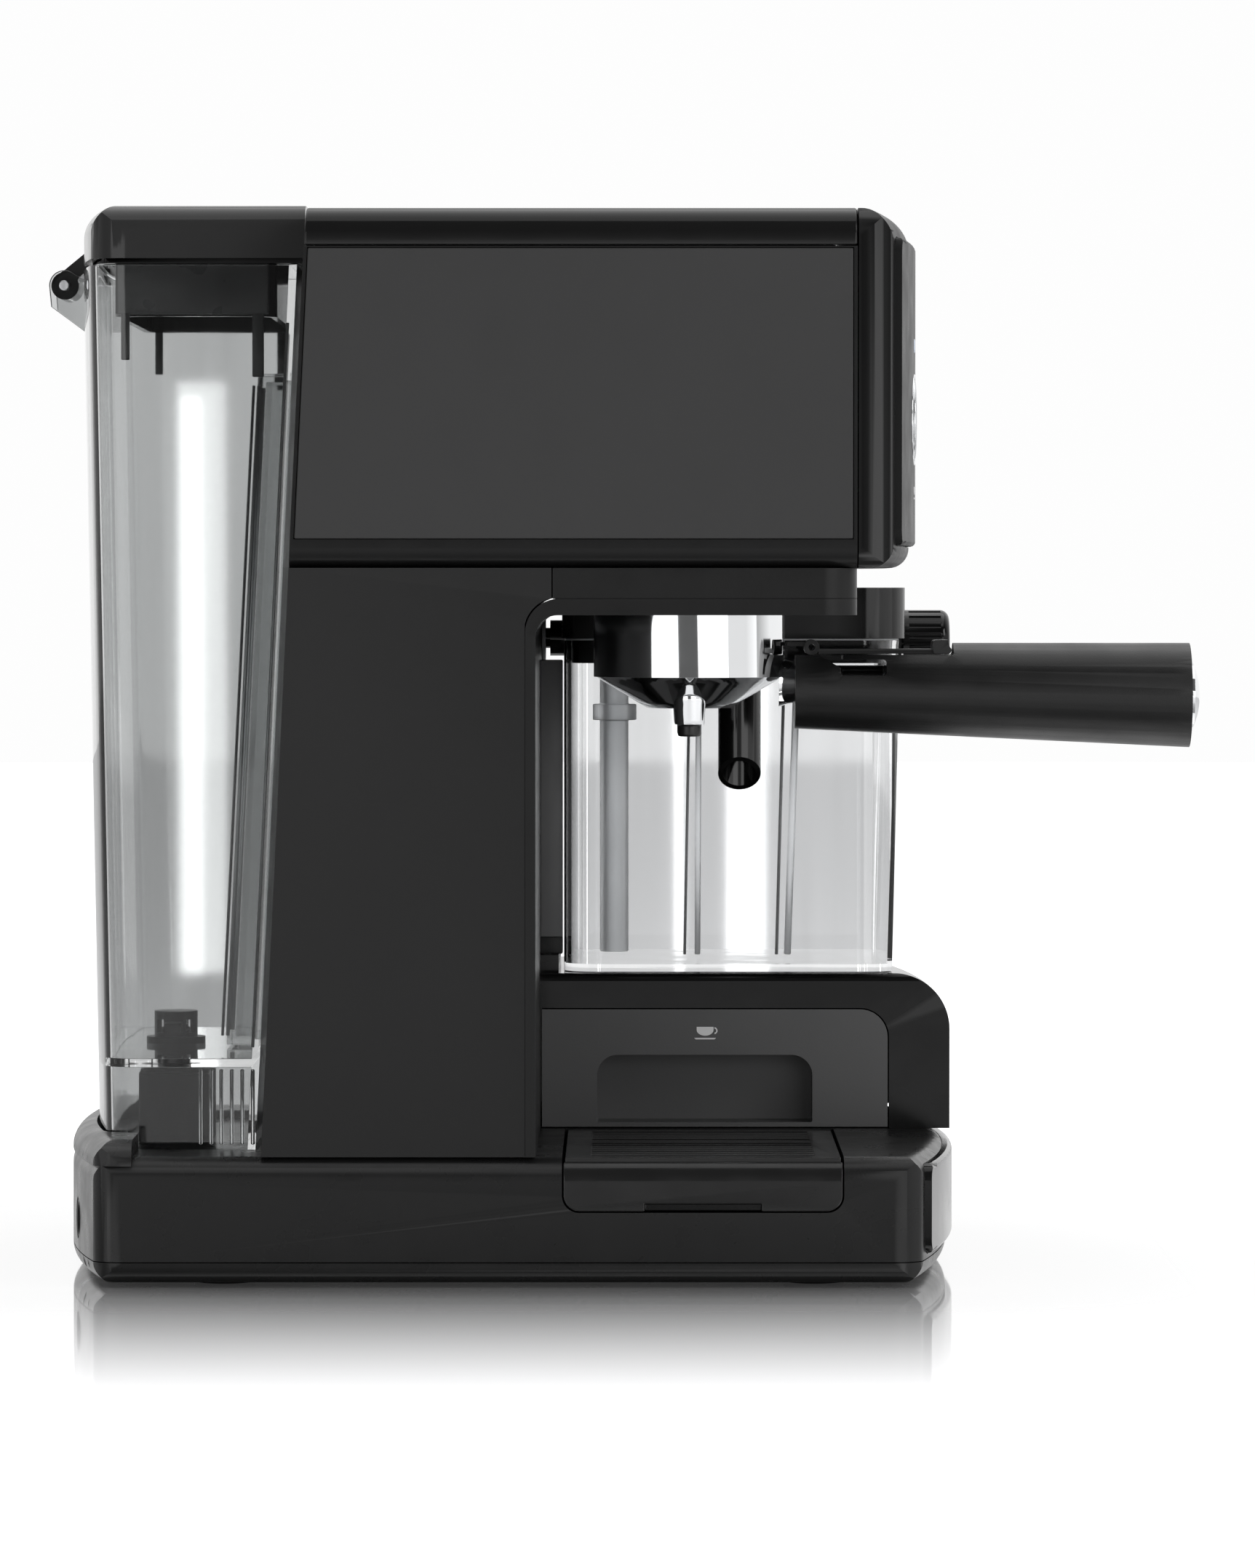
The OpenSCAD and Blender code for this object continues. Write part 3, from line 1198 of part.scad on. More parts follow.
module valve_spring() color("silver") translate([0, valve_y, 0]) polyhedron(
    points = [for (i = [0:spring_steps], k = [0:5]) spring_point(i, k * 60)],
    faces = concat(
        [for (i = [0:spring_steps - 1], k = [0:5])
            [i * 6 + k, i * 6 + (k + 1) % 6, (i + 1) * 6 + (k + 1) % 6, (i + 1) * 6 + k]],
        [[5, 4, 3, 2, 1, 0], [for (k = [0:5]) spring_steps * 6 + k]]));

base_pan();
feet();
base_shell();
base_front_plate();
housing_screws();
cord_inlet();
power_switch_frame();
power_switch();
column_shell();
head_shell();
top_cover();
left_side_panel();
right_side_panel();
front_bezel();
control_panel();
espresso_button();
cappuccino_button();
latte_button();
indicator_lenses();
button_board();
control_board();
brew_head_cover();
bay_liner();
group_head();
group_gasket();
shower_screen();
shower_screw();
boiler();
thermostats();
solenoid_valve();
pump();
pump_mounts();
water_hose();
pressure_hose();
steam_hose();
steam_socket();
tank_inlet();
portafilter_bowl();
filter_basket();
portafilter_handle();
handle_end_cap();
filter_clip();
spout_nozzles();
spout_tips();
milk_platform();
small_cup_tray();
drip_tray();
drip_grid();
milk_tank();
milk_lid();
milk_lid_seal();
milk_suction_tube();
froth_knob();
milk_spout();
water_tank();
tank_lid();
tank_hinge_pin();
tank_valve_body();
valve_plunger();
valve_spring();
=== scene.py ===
"""Looks of an espresso and milk coffee machine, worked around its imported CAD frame.

Lengths are in metres. Each CAD node gets a procedural material and soft edges,
and the small details that the CAD leaves out are built here and ride on its bodies.
"""

import math

import bmesh
import bpy
from mathutils import Matrix, Vector

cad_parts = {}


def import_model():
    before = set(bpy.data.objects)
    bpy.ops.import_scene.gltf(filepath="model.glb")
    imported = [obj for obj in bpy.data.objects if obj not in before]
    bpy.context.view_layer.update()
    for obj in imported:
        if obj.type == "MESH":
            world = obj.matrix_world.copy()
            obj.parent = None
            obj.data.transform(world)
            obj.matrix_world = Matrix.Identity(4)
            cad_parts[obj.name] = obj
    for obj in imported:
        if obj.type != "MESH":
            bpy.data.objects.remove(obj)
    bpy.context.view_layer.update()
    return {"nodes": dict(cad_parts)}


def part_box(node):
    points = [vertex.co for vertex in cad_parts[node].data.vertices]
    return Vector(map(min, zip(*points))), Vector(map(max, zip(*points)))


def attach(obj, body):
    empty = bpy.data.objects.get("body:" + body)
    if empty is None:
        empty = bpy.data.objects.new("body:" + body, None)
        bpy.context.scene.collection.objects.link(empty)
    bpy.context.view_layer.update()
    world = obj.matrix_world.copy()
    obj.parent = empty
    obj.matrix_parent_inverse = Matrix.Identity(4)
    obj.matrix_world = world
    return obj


MM = 0.001

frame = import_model()
nodes = frame["nodes"]
scene = bpy.context.scene
scene.view_settings.view_transform = "Standard"
scene.view_settings.look = "None"


# ---------------------------------------------------------------- materials

def link(tree, out, into):
    tree.links.new(out, into)


def noise(tree, coords, scale, detail=3.0, rough=0.55):
    node = tree.nodes.new("ShaderNodeTexNoise")
    node.inputs["Scale"].default_value = scale
    node.inputs["Detail"].default_value = detail
    node.inputs["Roughness"].default_value = rough
    link(tree, coords, node.inputs["Vector"])
    return node.outputs["Fac"]


def spread(tree, value, low, high, start=0.3, end=0.7):
    node = tree.nodes.new("ShaderNodeMapRange")
    node.inputs["From Min"].default_value = start
    node.inputs["From Max"].default_value = end
    node.inputs["To Min"].default_value = low
    node.inputs["To Max"].default_value = high
    link(tree, value, node.inputs["Value"])
    return node.outputs["Result"]


def blend_colours(tree, share, low, high):
    node = tree.nodes.new("ShaderNodeMix")
    node.data_type = "RGBA"
    node.inputs["A"].default_value = (*low, 1)
    node.inputs["B"].default_value = (*high, 1)
    link(tree, share, node.inputs["Factor"])
    return node.outputs["Result"]


def stretched_coords(tree, stretch):
    coords = tree.nodes.new("ShaderNodeTexCoord")
    mapping = tree.nodes.new("ShaderNodeMapping")
    mapping.inputs["Scale"].default_value = stretch
    link(tree, coords.outputs["Object"], mapping.inputs["Vector"])
    return mapping.outputs["Vector"]


def surface(name, colour, rough, metallic=0.0, mottle=0.12, mottle_scale=16.0, rough_spread=0.06,
            rough_scale=70.0, grain=0.0, grain_scale=1400.0, stretch=(1, 1, 1), edge_wear_and_highlight=0.0,
            **sockets):
    """A solid material: cloudy colour, patchy gloss, a fine grain and paler edges that are partly wear and
    partly a painted highlight.
    """
    material = bpy.data.materials.new(name)
    material.use_nodes = True
    tree = material.node_tree
    shader = tree.nodes["Principled BSDF"]
    shader.inputs["Metallic"].default_value = metallic
    for socket, value in sockets.items():
        shader.inputs[socket.replace("_", " ")].default_value = value
    coords = stretched_coords(tree, stretch)
    low = [c * (1 - mottle) for c in colour]
    high = [min(1, c * (1 + mottle)) for c in colour]
    tint = blend_colours(tree, spread(tree, noise(tree, coords, mottle_scale), 0, 1), low, high)
    if edge_wear_and_highlight:
        tint = worn_and_highlit_edges(tree, tint, edge_wear_and_highlight)
    link(tree, tint, shader.inputs["Base Color"])
    patches = noise(tree, coords, rough_scale, detail=4)
    link(tree, spread(tree, patches, rough - rough_spread, rough + rough_spread), shader.inputs["Roughness"])
    if grain:
        bump = tree.nodes.new("ShaderNodeBump")
        bump.inputs["Strength"].default_value = grain
        bump.inputs["Distance"].default_value = 0.1 * MM
        link(tree, noise(tree, coords, grain_scale, detail=2), bump.inputs["Height"])
        link(tree, bump.outputs["Normal"], shader.inputs["Normal"])
    return material


def worn_and_highlit_edges(tree, tint, edge_wear_and_highlight):
    """Corners a little paler than the flats: partly rubbed wear, partly a painted highlight along the edges.
    """
    geometry = tree.nodes.new("ShaderNodeNewGeometry")
    share = spread(tree, geometry.outputs["Pointiness"], 0, edge_wear_and_highlight, 0.52, 0.62)
    node = tree.nodes.new("ShaderNodeMix")
    node.data_type = "RGBA"
    # Pale grey of the edges: part wear, part painted highlight
    node.inputs["B"].default_value = (0.22, 0.22, 0.22, 1)
    link(tree, share, node.inputs["Factor"])
    link(tree, tint, node.inputs["A"])
    return node.outputs["Result"]


def see_through(name, tint, rough=0.03, shade=0.8, wave=0.12, ior=1.45, streak=0.04):
    """Clear moulded plastic with faint flow marks. Lamps shine through it."""
    material = bpy.data.materials.new(name)
    material.use_nodes = True
    tree = material.node_tree
    shader = tree.nodes["Principled BSDF"]
    shader.inputs["Transmission Weight"].default_value = 1.0
    shader.inputs["IOR"].default_value = ior
    coords = stretched_coords(tree, (1, 1, 0.06))
    marks = spread(tree, noise(tree, coords, 55), 0, 1)
    colours = blend_colours(tree, marks, [c * (1 - streak) for c in tint], tint)
    link(tree, colours, shader.inputs["Base Color"])
    link(tree, spread(tree, noise(tree, coords, 60), rough, rough + 0.03), shader.inputs["Roughness"])
    bump = tree.nodes.new("ShaderNodeBump")
    bump.inputs["Strength"].default_value = wave
    bump.inputs["Distance"].default_value = 0.4 * MM
    link(tree, noise(tree, coords, 45, detail=1), bump.inputs["Height"])
    link(tree, bump.outputs["Normal"], shader.inputs["Normal"])
    path = tree.nodes.new("ShaderNodeLightPath")
    clear = tree.nodes.new("ShaderNodeBsdfTransparent")
    clear.inputs["Color"].default_value = (*[shade * c for c in tint], 1)
    mix = tree.nodes.new("ShaderNodeMixShader")
    link(tree, path.outputs["Is Shadow Ray"], mix.inputs["Fac"])
    link(tree, shader.outputs["BSDF"], mix.inputs[1])
    link(tree, clear.outputs["BSDF"], mix.inputs[2])
    link(tree, mix.outputs["Shader"], tree.nodes["Material Output"].inputs["Surface"])
    return material


def grey(value):
    return (value, value, value * 1.01)


LOOKS = {
    "gloss": surface("gloss_black_plastic", grey(0.0025), 0.13, rough_spread=0.03, edge_wear_and_highlight=0.15,
                     Specular_IOR_Level=0.3),
    "front": surface("front_black_plastic", grey(0.010), 0.3, rough_spread=0.04, grain=0.05, edge_wear_and_highlight=0.3,
                     Specular_IOR_Level=0.02),
    "satin": surface("satin_black_plastic", grey(0.005), 0.36, grain=0.2, edge_wear_and_highlight=0.1,
                     Specular_IOR_Level=0.22),
    "base": surface("base_black_plastic", grey(0.012), 0.30, mottle=0.06, grain=0.1, edge_wear_and_highlight=0.15,
                    Specular_IOR_Level=0.25),
    "column": surface("column_black_plastic", grey(0.012), 0.42, mottle=0.06, grain=0.25, edge_wear_and_highlight=0.1,
                      Specular_IOR_Level=0.22),
    "panel": surface("charcoal_panel", grey(0.034), 0.44, mottle=0.05, mottle_scale=9,
                     grain=0.3, grain_scale=900, edge_wear_and_highlight=0.1, Specular_IOR_Level=0.3),
    "drawer": surface("grey_drawer_plastic", grey(0.10), 0.42, mottle=0.04, grain=0.2, edge_wear_and_highlight=0.1,
                      Specular_IOR_Level=0.3),
    "grip": surface("grip_black_plastic", grey(0.006), 0.34, grain=0.25, grain_scale=1800, edge_wear_and_highlight=0.1,
                    Specular_IOR_Level=0.4),
    "tray": surface("tray_black_plastic", grey(0.005), 0.2, grain=0.1, edge_wear_and_highlight=0.15,
                    Specular_IOR_Level=0.4),
    "spout": surface("spout_black_plastic", grey(0.002), 0.12, rough_spread=0.03,
                     Specular_IOR_Level=0.5),
    "chrome": surface("polished_chrome", (0.86, 0.87, 0.88), 0.06, metallic=1.0, mottle=0.02,
                      rough_spread=0.02, rough_scale=25),
    "steel": surface("brushed_steel", (0.62, 0.63, 0.64), 0.28, metallic=1.0, mottle=0.08,
                     mottle_scale=300, stretch=(1, 1, 0.05), grain=0.2, grain_scale=700),
    "zinc": surface("cast_zinc", (0.56, 0.57, 0.59), 0.42, metallic=1.0, grain=0.5, grain_scale=500),
    "rubber": surface("black_rubber", grey(0.016), 0.7, grain=0.4, grain_scale=900),
    "silicone": surface("white_silicone", (0.72, 0.73, 0.74), 0.45, mottle=0.04, grain=0.1),
    "gasket": surface("red_brown_gasket", (0.20, 0.07, 0.05), 0.6, grain=0.3),
    "silver": surface("silver_button_plastic", (0.70, 0.71, 0.72), 0.26, metallic=0.75, mottle=0.03,
                      grain=0.08),
    "lens": surface("frosted_lens", (0.80, 0.88, 1.0), 0.3, mottle=0.05, grain=0.2),
    "board": surface("circuit_board", (0.05, 0.20, 0.10), 0.4, mottle=0.3, mottle_scale=260, grain=0.3),
    "brass": surface("machined_brass", (0.62, 0.45, 0.18), 0.25, metallic=1.0, mottle=0.08, grain=0.1),
    "milky": surface("milky_tube_plastic", (0.90, 0.91, 0.92), 0.45, mottle=0.03, grain=0.05,
                     Transmission_Weight=0.92),
    "hose": surface("hose_silicone", (0.78, 0.79, 0.80), 0.4, mottle=0.05, grain=0.1),
    "print": surface("white_print", (0.82, 0.82, 0.82), 0.5, mottle=0.02, grain=0.1),
    "dark_print": surface("dark_print", grey(0.03), 0.5, mottle=0.05, grain=0.1),
    "collar": surface("collar_grey_plastic", grey(0.045), 0.3, mottle=0.3, mottle_scale=30, grain=0.1,
                      Specular_IOR_Level=0.4),
    "strip": surface("grey_strip_plastic", grey(0.15), 0.4, mottle=0.06, grain=0.2),
    "smoke": see_through("smoke_tinted_plastic", (0.70, 0.71, 0.71), rough=0.02, streak=0.12),
    "clear": see_through("water_clear_plastic", (0.94, 0.945, 0.95), rough=0.015, shade=0.95, streak=0.09),
}

NODE_LOOKS = {
    "front": ["control_panel", "front_bezel"],
    "gloss": ["top_cover", "base_front_plate", "milk_platform",
              "power_switch", "tank_lid", "milk_lid", "froth_knob"],
    "satin": ["head_shell", "bay_liner", "brew_head_cover", "filter_clip", "power_switch_frame",
              "cord_inlet", "tank_valve_body"],
    "base": ["base_shell", "base_pan"],
    "column": ["column_shell"],
    "panel": ["left_side_panel", "right_side_panel"],
    "drawer": ["small_cup_tray"],
    "grip": ["portafilter_handle", "spout_tips"],
    "tray": ["drip_tray", "drip_grid"],
    "spout": ["milk_spout"],
    "chrome": ["portafilter_bowl", "handle_end_cap", "spout_nozzles"],
    "steel": ["filter_basket", "shower_screen", "shower_screw", "housing_screws",
              "tank_hinge_pin", "valve_spring"],
    "zinc": ["boiler", "group_head", "pump", "solenoid_valve"],
    "rubber": ["feet", "pump_mounts", "tank_inlet", "valve_plunger"],
    "silicone": ["milk_lid_seal", "steam_socket"],
    "gasket": ["group_gasket"],
    "silver": ["espresso_button", "cappuccino_button", "latte_button"],
    "lens": ["indicator_lenses"],
    "board": ["button_board", "control_board"],
    "brass": ["thermostats"],
    "milky": ["milk_suction_tube"],
    "hose": ["water_hose", "pressure_hose", "steam_hose"],
    "smoke": ["water_tank"],
    "clear": ["milk_tank"],
}
NODE_LOOK = {node: look for look, members in NODE_LOOKS.items() for node in members}

# Radius of the moulded edge that each sort of surface has
EDGE_ROUND = {"chrome": 0.35, "steel": 0.2, "print": 0.0, "smoke": 0.5, "clear": 0.5, "hose": 0.0,
              "panel": 0.5, "grip": 0.7, "gloss": 0.7, "satin": 0.6, "base": 0.8, "column": 0.8}
# Nodes with an open window in a flat face, which merging facets would fill in
FRAMED_NODES = {"head_shell", "base_shell", "milk_platform", "tank_inlet"}
PLAIN_NODES = {"valve_spring", "water_hose", "pressure_hose", "steam_hose"}


def wear_look(piece, look):
    if "custom_normal" in piece.data.attributes:
        piece.data.attributes.remove(piece.data.attributes["custom_normal"])
    piece.data.materials.clear()
    piece.data.materials.append(LOOKS[look])
    for polygon in piece.data.polygons:
        polygon.use_smooth = True


def soften(piece, width, flats=True):
    """Merges flat facets, rounds the sharp edges and shades what is left smoothly."""
    weld = piece.modifiers.new("weld", "WELD")
    weld.merge_threshold = 0.002 * MM
    if flats:
        planar = piece.modifiers.new("planar", "DECIMATE")
        planar.decimate_type = "DISSOLVE"
        planar.angle_limit = math.radians(0.6)
    if width:
        bevel = piece.modifiers.new("bevel", "BEVEL")
        bevel.width = width * MM
        bevel.segments = 2
        bevel.limit_method = "ANGLE"
        bevel.angle_limit = math.radians(32)
        bevel.use_clamp_overlap = True
        bevel.harden_normals = False
    normals = piece.modifiers.new("normals", "WEIGHTED_NORMAL")
    normals.keep_sharp = True
    normals.weight = 60


def dress_nodes():
    for name, node in nodes.items():
        look = NODE_LOOK[name]
        wear_look(node, look)
        if name not in PLAIN_NODES:
            soften(node, EDGE_ROUND.get(look, 0.4), flats=name not in FRAMED_NODES and look != "chrome")


# ---------------------------------------------------------------- details

# A place just in front of the control panel, in millimetres
PANEL_FRONT = -91


def finish_piece(name, mesh, look, body):
    """Makes an object of a bmesh, gives it a look and lets it ride on a CAD body."""
    data = bpy.data.meshes.new(name)
    bmesh.ops.recalc_face_normals(mesh, faces=mesh.faces)
    mesh.to_mesh(data)
    mesh.free()
    piece = bpy.data.objects.new(name, data)
    scene.collection.objects.link(piece)
    data.materials.append(LOOKS[look])
    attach(piece, body)
    return piece


def slab(name, low, high, look, body, edge=0.4):
    """A box with rounded edges, between two corners given in millimetres."""
    mesh = bmesh.new()
    bmesh.ops.create_cube(mesh, size=1)
    for vertex in mesh.verts:
        share = [c + 0.5 for c in vertex.co]
        vertex.co = [MM * (a + t * (b - a)) for a, b, t in zip(low, high, share)]
    bmesh.ops.bevel(mesh, geom=mesh.edges[:], offset=edge * MM, segments=3, affect="EDGES", profile=0.5)
    piece = finish_piece(name, mesh, look, body)
    for polygon in piece.data.polygons:
        polygon.use_smooth = True
    return piece


def leaning_rod(name, foot, head, radius, look, body):
    """A straight round rib between two points given in millimetres."""
    foot, head = MM * Vector(foot), MM * Vector(head)
    mesh = bmesh.new()
    turn = (head - foot).to_track_quat("Z", "Y").to_matrix().to_4x4()
    middle = Matrix.Translation((foot + head) / 2) @ turn
    bmesh.ops.create_cone(mesh, segments=20, radius1=radius * MM, radius2=radius * MM,
                          depth=(head - foot).length, cap_ends=True, matrix=middle)
    caps = [e for e in mesh.edges if len(e.link_faces) == 2 and e.calc_face_angle() > 1]
    bmesh.ops.bevel(mesh, geom=caps, offset=0.2 * radius * MM, segments=2, affect="EDGES")
    piece = finish_piece(name, mesh, look, body)
    for polygon in piece.data.polygons:
        polygon.use_smooth = True
    return piece


def arc(radius, start, end, steps, squash=1.0):
    turns = [math.radians(start + (end - start) * i / steps) for i in range(steps + 1)]
    return [(radius * math.cos(t), radius * squash * math.sin(t)) for t in turns]


def cup_outlines(size, tall=0.7):
    """A plain cup on its saucer: bowl, handle and saucer as flat outlines."""
    bowl = arc(size, 180, 360, 14, tall) + [(size, 0.35 * size), (-size, 0.35 * size)]
    outer = [(1.05 * size + u, v - 0.1 * size) for u, v in arc(0.42 * size, -80, 80, 10)]
    inner = [(1.05 * size + u, v - 0.1 * size) for u, v in arc(0.26 * size, 80, -80, 10)]
    low = -(tall + 0.25) * size
    saucer = [(-1.3 * size, low), (1.3 * size, low), (1.1 * size, low - 0.18 * size),
              (-1.1 * size, low - 0.18 * size)]
    return [bowl, outer + inner, saucer]


def printed(name, outlines, place, right, host, body, look="print"):
    """Flat outlines laid on the nearest surface of a CAD node as a thin print."""
    mesh = bmesh.new()
    up = Vector((0, 0, 1))
    for outline in outlines:
        front, back = [], []
        for u, v in outline:
            spot = MM * (Vector(place) + u * Vector(right) + v * up)
            _, at, normal, _ = nodes[host].closest_point_on_mesh(spot)
            front.append(mesh.verts.new(at + normal * 0.06 * MM))
            back.append(mesh.verts.new(at - normal * 0.1 * MM))
        mesh.faces.new(front)
        mesh.faces.new(back[::-1])
        for i in range(len(front)):
            j = (i + 1) % len(front)
            mesh.faces.new((front[i], back[i], back[j], front[j]))
    return finish_piece(name, mesh, look, body)


def button_ring(name, x, z, radius, tube=0.35):
    """A bright ring let into the control panel round a button."""
    mesh = bmesh.new()
    loops = []
    for i in range(64):
        turn = math.tau * i / 64
        out = Vector((math.cos(turn), 0, math.sin(turn)))
        spot = MM * (Vector((x, PANEL_FRONT, z)) + radius * out)
        _, at, normal, _ = nodes["control_panel"].closest_point_on_mesh(spot)
        sides = [math.tau * k / 10 for k in range(10)]
        heart = at - 0.1 * MM * normal
        loops.append([mesh.verts.new(heart + MM * tube * (math.cos(s) * out + math.sin(s) * normal))
                      for s in sides])
    for i, loop in enumerate(loops):
        after = loops[(i + 1) % len(loops)]
        for k in range(10):
            mesh.faces.new((loop[k], loop[(k + 1) % 10], after[(k + 1) % 10], after[k]))
    piece = finish_piece(name, mesh, "chrome", "machine")
    for polygon in piece.data.polygons:
        polygon.use_smooth = True
    return piece


def front_details():
    """Rings and plain cup signs of the three buttons, and the sign on the cup drawer."""
    for name, tall in (("espresso", 0.55), ("cappuccino", 0.75), ("latte", 1.2)):
        low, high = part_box(name + "_button")
        x = (low.x + high.x) / 2 / MM
        z = (low.z + high.z) / 2 / MM
        button_ring(name + "_ring", x, z, 13.3)
        size = 3.6 if name != "espresso" else 2.8
        printed(name + "_sign", cup_outlines(size, tall), (x, PANEL_FRONT, z - 21), (1, 0, 0),
                "control_panel", "machine")
    low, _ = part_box("small_cup_tray")
    printed("drawer_sign", cup_outlines(2.6), (low.x / MM, -26, 68.2), (0, -1, 0), "small_cup_tray",
            "cup_drawer")


def milk_guide():
    """Upright guide on the column that the milk tank docks against."""
    _, tank_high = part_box("milk_tank")
    _, deck_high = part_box("milk_platform")
    rear = tank_high.y / MM
    top = deck_high.z / MM
    slab("milk_tank_guide", (22, rear + 0.4, top + 0.2), (27, rear + 7.4, 181.5), "strip", "machine")
    slab("milk_tank_stop", (21, rear + 0.4, top + 0.1), (29, rear + 9.6, top + 5.4), "satin", "machine")


def milk_ribs():
    """Upright lines moulded into the milk tank, leaning a little as they rise. Their grey is painted shade
    and their milky white a painted highlight, standing for the dark and bright lines that light draws in the
    clear plastic.
    """
    for name, y_top, y_low, radius, look in (
            ("milk_rib_dark", -21.6, -20.0, 0.45, "strip"),
            ("milk_rib_rear", -24.4, -24.0, 0.9, "milky"),
            ("milk_rib_front", -51.0, -48.6, 0.5, "strip"),
            ("milk_rib_far", -55.0, -52.0, 1.1, "milky")):
        leaning_rod(name, (40, y_low, 89.5), (40, y_top, 178), radius, look, "milk_unit")


def tank_details():
    """Dark collar and its tabs in the tank's mouth, moulded lines, and the grip ribs on its foot. The lines'
    grey is painted shade and their milky white a painted highlight along the tank's edges.
    """
    low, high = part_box("water_tank")
    mouth = high.z / MM - 0.6
    collar_z, collar_t = 284.5, 1.6
    for side, x in (("left", low.x / MM + 2.8), ("right", high.x / MM - 2.8 - collar_t)):
        far_x = x + collar_t
        slab(f"tank_collar_{side}", (x, 103.5, collar_z), (far_x, 148.5, mouth), "collar", "tank")
        slab(f"tank_collar_tab_{side}", (x, 105, 266), (far_x, 108.4, collar_z + 0.2), "collar", "tank")
        slab(f"tank_collar_hook_{side}", (x, 144.6, 271), (far_x, 147, collar_z + 0.2), "collar", "tank")
        corner = -1 if side == "left" else 1
        # Grey and milky rods: painted shade and painted highlight along the tank's edges
        leaning_rod(f"tank_front_line_{side}", (corner * 76.5, 108.6, 68), (corner * 76.5, 98.0, 282), 0.5,
                    "milky", "tank")
        leaning_rod(f"tank_channel_line_{side}", (corner * 21, 120.6, 68), (corner * 21, 110.8, 265), 0.45,
                    "strip", "tank")
        leaning_rod(f"tank_channel_edge_{side}", (corner * 21, 119.0, 68), (corner * 21, 109.2, 265), 0.6,
                    "milky", "tank")
    rib_x, rib_pitch = low.x / MM + 3.2, 3.1
    for i in range(6):
        y = 108 + rib_pitch * i
        slab(f"tank_foot_rib_{i}", (rib_x, y, 39.2), (rib_x + 1.4, y + 1.2, 61.5), "clear", "tank")


# ---------------------------------------------------------------- stage

def world():
    """Pale all round where the camera looks, and dimmer behind it for soft contrast."""
    scene.world = bpy.data.worlds.new("studio")
    scene.world.use_nodes = True
    tree = scene.world.node_tree
    background = tree.nodes["Background"]
    coords = tree.nodes.new("ShaderNodeTexCoord")
    split = tree.nodes.new("ShaderNodeSeparateXYZ")
    link(tree, coords.outputs["Generated"], split.inputs["Vector"])
    glow = spread(tree, split.outputs["X"], 0.10, 1.0, -0.30, 0.40)
    path = tree.nodes.new("ShaderNodeLightPath")
    seen = tree.nodes.new("ShaderNodeMix")
    seen.inputs["B"].default_value = 1.0
    link(tree, path.outputs["Is Camera Ray"], seen.inputs["Factor"])
    link(tree, glow, seen.inputs["A"])
    link(tree, seen.outputs["Result"], background.inputs["Strength"])
    background.inputs["Color"].default_value = (0.985, 0.985, 0.985, 1)


def floor():
    """A pale floor, polished near the machine so that it mirrors its foot, and matt further off. It glows
    with painted light, even far off and dimmer round the machine's foot as painted shade, and looks paler to
    the camera than to the light it bounces.
    """
    bpy.ops.mesh.primitive_circle_add(vertices=96, radius=6, fill_type="NGON")
    disc = bpy.context.object
    disc.name = "floor"
    material = bpy.data.materials.new("pale_floor")
    material.use_nodes = True
    tree = material.node_tree
    shader = tree.nodes["Principled BSDF"]
    shader.inputs["Roughness"].default_value = 0.6
    shader.inputs["Specular IOR Level"].default_value = 0.0
    shader.inputs["Emission Color"].default_value = (1, 1, 1, 1)
    geometry = tree.nodes.new("ShaderNodeNewGeometry")
    split = tree.nodes.new("ShaderNodeSeparateXYZ")
    link(tree, geometry.outputs["Position"], split.inputs["Vector"])
    away = distance_outside(tree, split)
    path = tree.nodes.new("ShaderNodeLightPath")
    seen = spread(tree, path.outputs["Is Camera Ray"], 0.5, 1.0, 0.0, 1.0)
    # Painted light: the floor's glow, weaker near the machine as painted shade
    glow = spread(tree, away, 0.25, 0.75, 0.0, 0.5)
    link(tree, maths(tree, "MULTIPLY", glow, seen), shader.inputs["Emission Strength"])
    link(tree, blend_colours(tree, seen, grey(0.1), grey(0.9)), shader.inputs["Base Color"])
    gloss = tree.nodes.new("ShaderNodeBsdfAnisotropic")
    gloss.inputs["Color"].default_value = (1, 1, 1, 1)
    gloss.inputs["Roughness"].default_value = 0.05
    mirror = spread(tree, away, 0.9, 0.0, 0.0, 0.36)
    mix = tree.nodes.new("ShaderNodeMixShader")
    link(tree, mirror, mix.inputs["Fac"])
    link(tree, shader.outputs["BSDF"], mix.inputs[1])
    link(tree, gloss.outputs["BSDF"], mix.inputs[2])
    link(tree, mix.outputs["Shader"], tree.nodes["Material Output"].inputs["Surface"])
    disc.data.materials.append(material)


def maths(tree, operation, *values):
    node = tree.nodes.new("ShaderNodeMath")
    node.operation = operation
    for socket, value in zip(node.inputs, values):
        if isinstance(value, (int, float)):
            socket.default_value = value
        else:
            link(tree, value, socket)
    return node.outputs[0]


def distance_outside(tree, split):
    """Distance on the floor from the footprint of the machine's base."""
    lo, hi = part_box("base_pan")
    gaps = []
    for axis, low, high in (("X", lo.x, hi.x), ("Y", lo.y, hi.y)):
        over = maths(tree, "SUBTRACT", split.outputs[axis], high)
        under = maths(tree, "SUBTRACT", low, split.outputs[axis])
        gaps.append(maths(tree, "MAXIMUM", maths(tree, "MAXIMUM", over, under), 0.0))
    squares = [maths(tree, "MULTIPLY", g, g) for g in gaps]
    return maths(tree, "SQRT", maths(tree, "ADD", *squares))


def softbox(name, place, target, width, height, power):
    light = bpy.data.lights.new(name, "AREA")
    light.shape = "RECTANGLE"
    light.size = width
    light.size_y = height
    light.energy = power
    lamp = bpy.data.objects.new(name, light)
    scene.collection.objects.link(lamp)
    lamp.location = place
    lamp.rotation_euler = (Vector(target) - Vector(place)).to_track_quat("-Z", "Y").to_euler()
    lamp.visible_camera = False
    return lamp


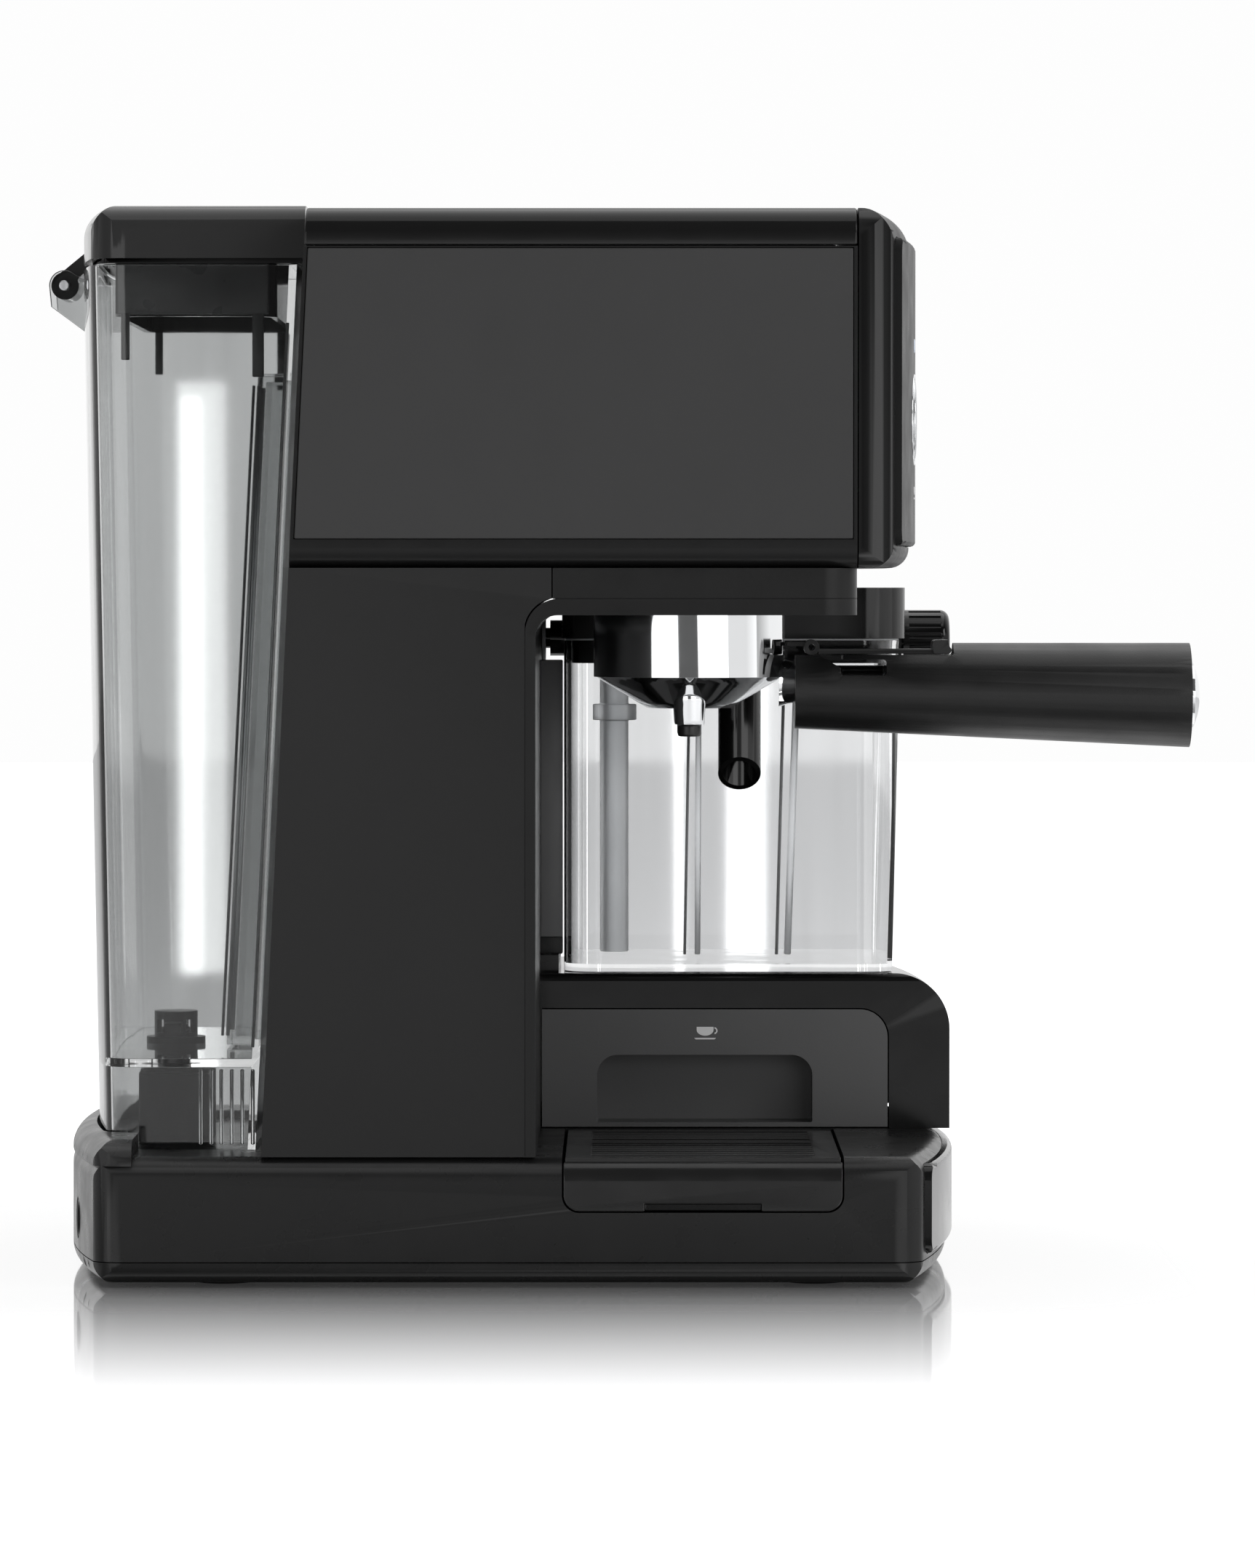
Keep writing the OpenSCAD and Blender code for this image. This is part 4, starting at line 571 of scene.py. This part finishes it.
def glint(name, side, width, heights, glow):
    """An upright strip behind the machine that is seen only through its clear tanks."""
    behind = 1.5
    eye_back = 2.21
    far = behind + width
    sight = (far + eye_back) / eye_back
    low, high = heights
    middle = (low + high) / 2
    power = glow * math.pi * width * (high - low)
    lamp = softbox(name, (far, side * sight, middle), (0, side * sight, middle), width, high - low, power)
    lamp.visible_diffuse = False
    lamp.visible_glossy = False


def around(angle, distance, height):
    """A place round the machine: angle 0 is in front of its cup bay's side, and 90 in front of its front."""
    turn = math.radians(angle)
    return Vector((-distance * math.cos(turn), -distance * math.sin(turn), height))


def lights():
    bowl = Vector((-0.05, -0.02, 0.19))
    softbox("overhead", (0.1, 0, 1.6), bowl, 2.0, 2.0, 14)
    softbox("rear_box", around(-31, 1.6, 0.22), bowl, 1.1, 0.8, 4.0)
    softbox("front_box", around(28, 1.6, 0.22), bowl, 1.03, 0.8, 4.5)
    softbox("far_front_box", around(66, 1.6, 0.30), bowl, 1.2, 0.9, 2.5)
    softbox("high_key", around(55, 2.0, 1.3), bowl, 0.8, 0.8, 8)
    glint("water_glint", 0.132, 0.011, (0.003, 0.300), 1.35)
    glint("water_halo", 0.129, 0.026, (0.003, 0.308), 1.12)
    glint("milk_glint", -0.017, 0.005, (0.003, 0.165), 1.2)
    glint("milk_streak", -0.0375, 0.020, (0.003, 0.165), 1.1)


def camera():
    """A long lens level with the cup bay, looking at the machine's left side."""
    near_face = -112.5 * MM
    distance = 2.1
    aim_height = 0.1469
    place = Vector((near_face - distance, -2.2 * MM, 0.206))
    aim = Vector((near_face, -2.2 * MM, aim_height))
    framed_height = 0.4556
    lens = bpy.data.cameras.new("camera")
    lens.sensor_fit = "VERTICAL"
    lens.sensor_height = 36
    lens.lens = lens.sensor_height * (aim - place).length / framed_height
    lens.clip_end = 50
    eye = bpy.data.objects.new("camera", lens)
    scene.collection.objects.link(eye)
    eye.location = place
    eye.rotation_euler = (aim - place).to_track_quat("-Z", "Y").to_euler()
    scene.camera = eye


camera()
world()
floor()
lights()
dress_nodes()
front_details()
milk_guide()
milk_ribs()
tank_details()
